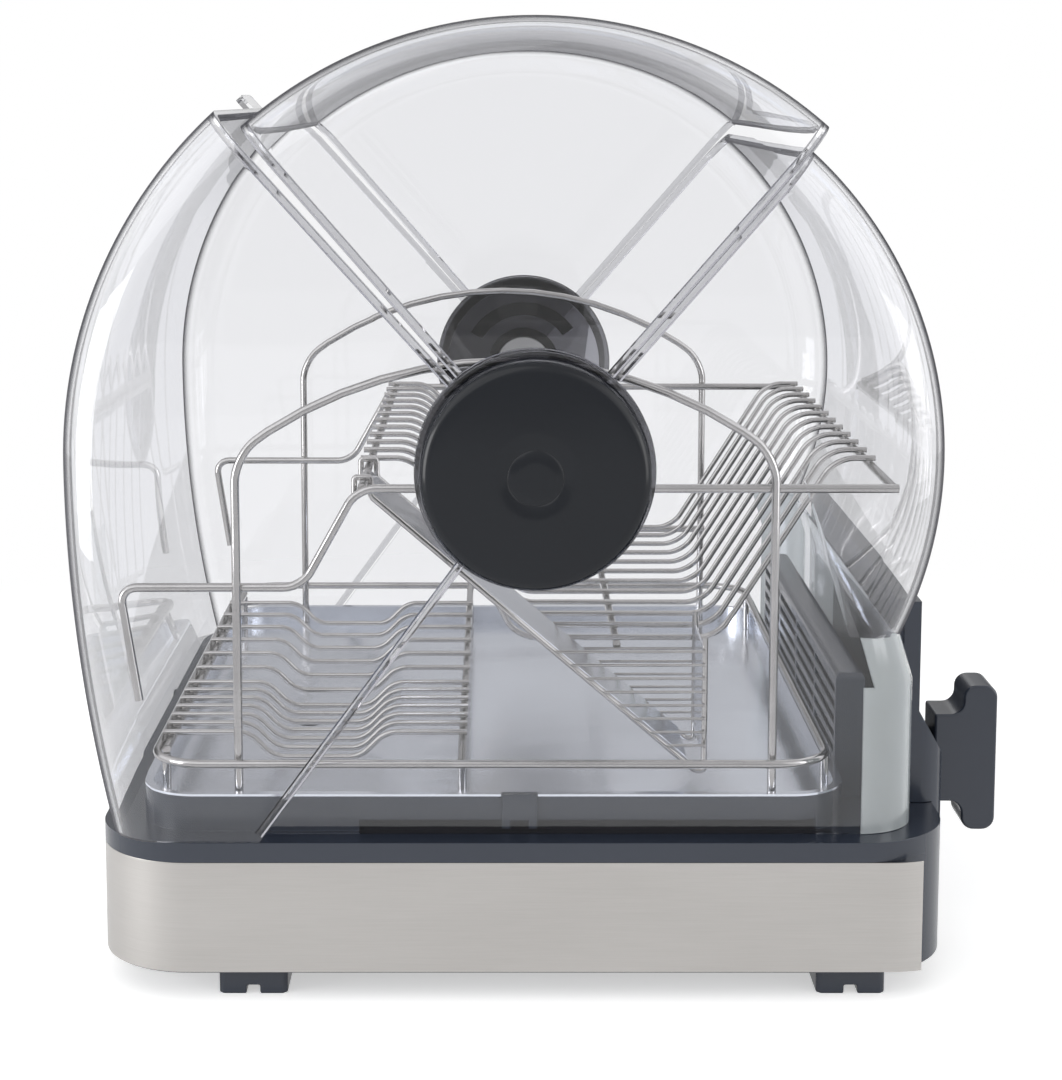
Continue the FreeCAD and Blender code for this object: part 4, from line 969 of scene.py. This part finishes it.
def softened(node, width):
    choose(frame["nodes"][node])
    bpy.ops.object.duplicate(linked=False)
    copy = bpy.context.object
    bpy.ops.object.parent_clear(type="CLEAR")
    for key in list(copy.keys()):
        del copy[key]
    edit(copy)
    bpy.ops.mesh.remove_doubles(threshold=weldDistance)
    bpy.ops.mesh.dissolve_limited(angle_limit=math.radians(1))
    leaveEdit()
    return rounded(copy, width * mm, 2)


bodyOf = {n: body for body, names in frame["record"]["behaviour"]["bodies"].items() for n in names}
slotOf = {part["node"]: part["material_slot"] for part in frame["record"]["subparts"]}
for node, width in soft.items():
    piece = softened(node, width)
    words = node.split("_")
    name = words[0] + "".join(w.capitalize() for w in words[1:])
    finishPiece(piece, name, slotFinish[slotOf[node]], bodyOf[node], slotOf[node], node)
print("remaining pieces ready")

# studio
cameraSizes = {"place": (1.1752, -0.0243, 0.4021), "pitch": 7.39, "focal": 2265.0, "height": 1080.0,
               "width": 1062.0, "principal": (495.1, 388.8), "sensor": 36.0}
deselect()
bpy.ops.object.camera_add(location=cameraSizes["place"],
                          rotation=(math.radians(90 - cameraSizes["pitch"]), 0, math.pi / 2))
lens = bpy.context.object
lens.data.sensor_width = cameraSizes["sensor"]
lens.data.lens = cameraSizes["focal"] / cameraSizes["height"] * cameraSizes["sensor"]
lens.data.shift_x = -(cameraSizes["principal"][0] - cameraSizes["width"] / 2) / cameraSizes["height"]
lens.data.shift_y = (cameraSizes["principal"][1] - cameraSizes["height"] / 2) / cameraSizes["height"]
bpy.context.scene.camera = lens

floorSizes = {"side": 6.0, "glow": 0.33, "seen": 0.5, "whiteFrom": 0.35, "whiteTo": 0.8}
deselect()
bpy.ops.mesh.primitive_plane_add(size=floorSizes["side"], location=(0, 0, 0))
floor = bpy.context.object
floor.name = "floor"
ground = Finish("ground", Roughness=0.9, Specular_IOR_Level=0.1, Emission_Strength=1.0)
speckle = ground.noise(3.0, 2.0)
ground.set(Base_Color=ground.mix(speckle, shade(0.86, 0.86, 0.86), shade(0.90, 0.90, 0.90)))
# white to the camera, to glass and to metal, with the object's shadow kept near it
seen = ground.rays("Camera")
passed = ground.rays("Transmission").math("MAXIMUM", ground.rays("Glossy"))
glow = (passed * floorSizes["glow"]).math("MAXIMUM", seen * floorSizes["seen"])
ground.set(Emission_Color=ground.mix(glow, shade(0, 0, 0), shade(1, 1, 1)))
spot = ground.add("TexCoord", output="Object")
away = ground.add("VectorMath", {"operation": "LENGTH"}, {0: spot}, "Value")
away = ground.fade(away, floorSizes["whiteFrom"], floorSizes["whiteTo"])
white = ground.add("Emission", None, {"Color": shade(1, 1, 1)})
ground.finishWith(ground.blend(away * passed.math("MAXIMUM", seen), ground.surface(), white))
floor.data.materials.append(ground.material)
floor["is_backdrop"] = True

# the surroundings: even light, and for bright pieces a brighter band at the sides and dark strips
worldSizes = {"even": 0.55, "mirrored": 0.55, "sides": 0.8, "sideFade": (0.45, 0.85), "roof": 0.35,
              "roofFade": (0.05, 0.5), "strips": 0.9, "stripStart": (0.44, 0.60),
              "stripEnd": (0.90, 0.99), "stripBack": (-0.1, 0.0), "stripTop": (0.25, 0.5)}
world = bpy.data.worlds.new("studio")
bpy.context.scene.world = world
world.use_nodes = True
studio = Nodes(world.node_tree)
toX, toY, toZ = [studio.add("SeparateXYZ", None, {0: studio.add("TexCoord", output="Generated")}, axis)
                 for axis in ("X", "Y", "Z")]
sizeX, sizeY, sizeZ = [toward.math("ABSOLUTE", 0.0) for toward in (toX, toY, toZ)]
sides = studio.fade(sizeY, *worldSizes["sideFade"], 0.0, worldSizes["sides"])
roof = studio.fade(toZ, *worldSizes["roofFade"], 0.0, worldSizes["roof"])
strips = studio.fade(sizeX, *worldSizes["stripStart"])
strips = strips * studio.fade(sizeX, *worldSizes["stripEnd"], 1.0, 0.0)
strips = strips * studio.fade(toX, *worldSizes["stripBack"], 1.0, 0.0)
strips = strips * studio.fade(sizeZ, *worldSizes["stripTop"], 1.0, 0.0)
mirrored = (sides + roof + worldSizes["mirrored"]) * (strips * -worldSizes["strips"] + 1.0)
white = studio.rays("Camera").math("MAXIMUM", studio.rays("Transmission"))
level = studio.choice(studio.rays("Glossy"), worldSizes["even"], mirrored)
level = studio.choice(white, level, 1.0)
studio.tree.links.new(level.socket, studio.tree.nodes["Background"].inputs["Strength"])
studio.tree.nodes["Background"].inputs["Color"].default_value = shade(1, 1, 1)

# place, width and power; wide and soft, so that the tray doesn't burn out where it mirrors them
lamps = {"keyLamp": ((1.6, -1.2, 1.9), 2.4, 16.0), "fillLamp": ((1.4, 1.6, 1.2), 2.0, 8.0),
         "backLamp": ((-1.6, 0.6, 1.8), 2.2, 9.0), "leftPanel": ((0.65, -1.2, 0.3), 0.6, 7.0),
         "rightPanel": ((0.65, 1.2, 0.3), 0.6, 3.0)}
lampAim = Vector((0, 0, 0.2))
for name, (place, size, power) in lamps.items():
    deselect()
    turn = (lampAim - Vector(place)).to_track_quat("-Z", "Y").to_euler()
    bpy.ops.object.light_add(type="AREA", location=place, rotation=turn)
    lamp = bpy.context.object
    lamp.name = name
    lamp.data.size = size
    lamp.data.energy = power

bounces = {"transparent": 48, "other": 40}
scene = bpy.context.scene
scene.view_settings.view_transform = "Standard"
scene.cycles.transparent_max_bounces = bounces["transparent"]
scene.cycles.max_bounces = bounces["other"]
scene.cycles.transmission_bounces = bounces["other"]
print("studio ready")

low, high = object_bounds()
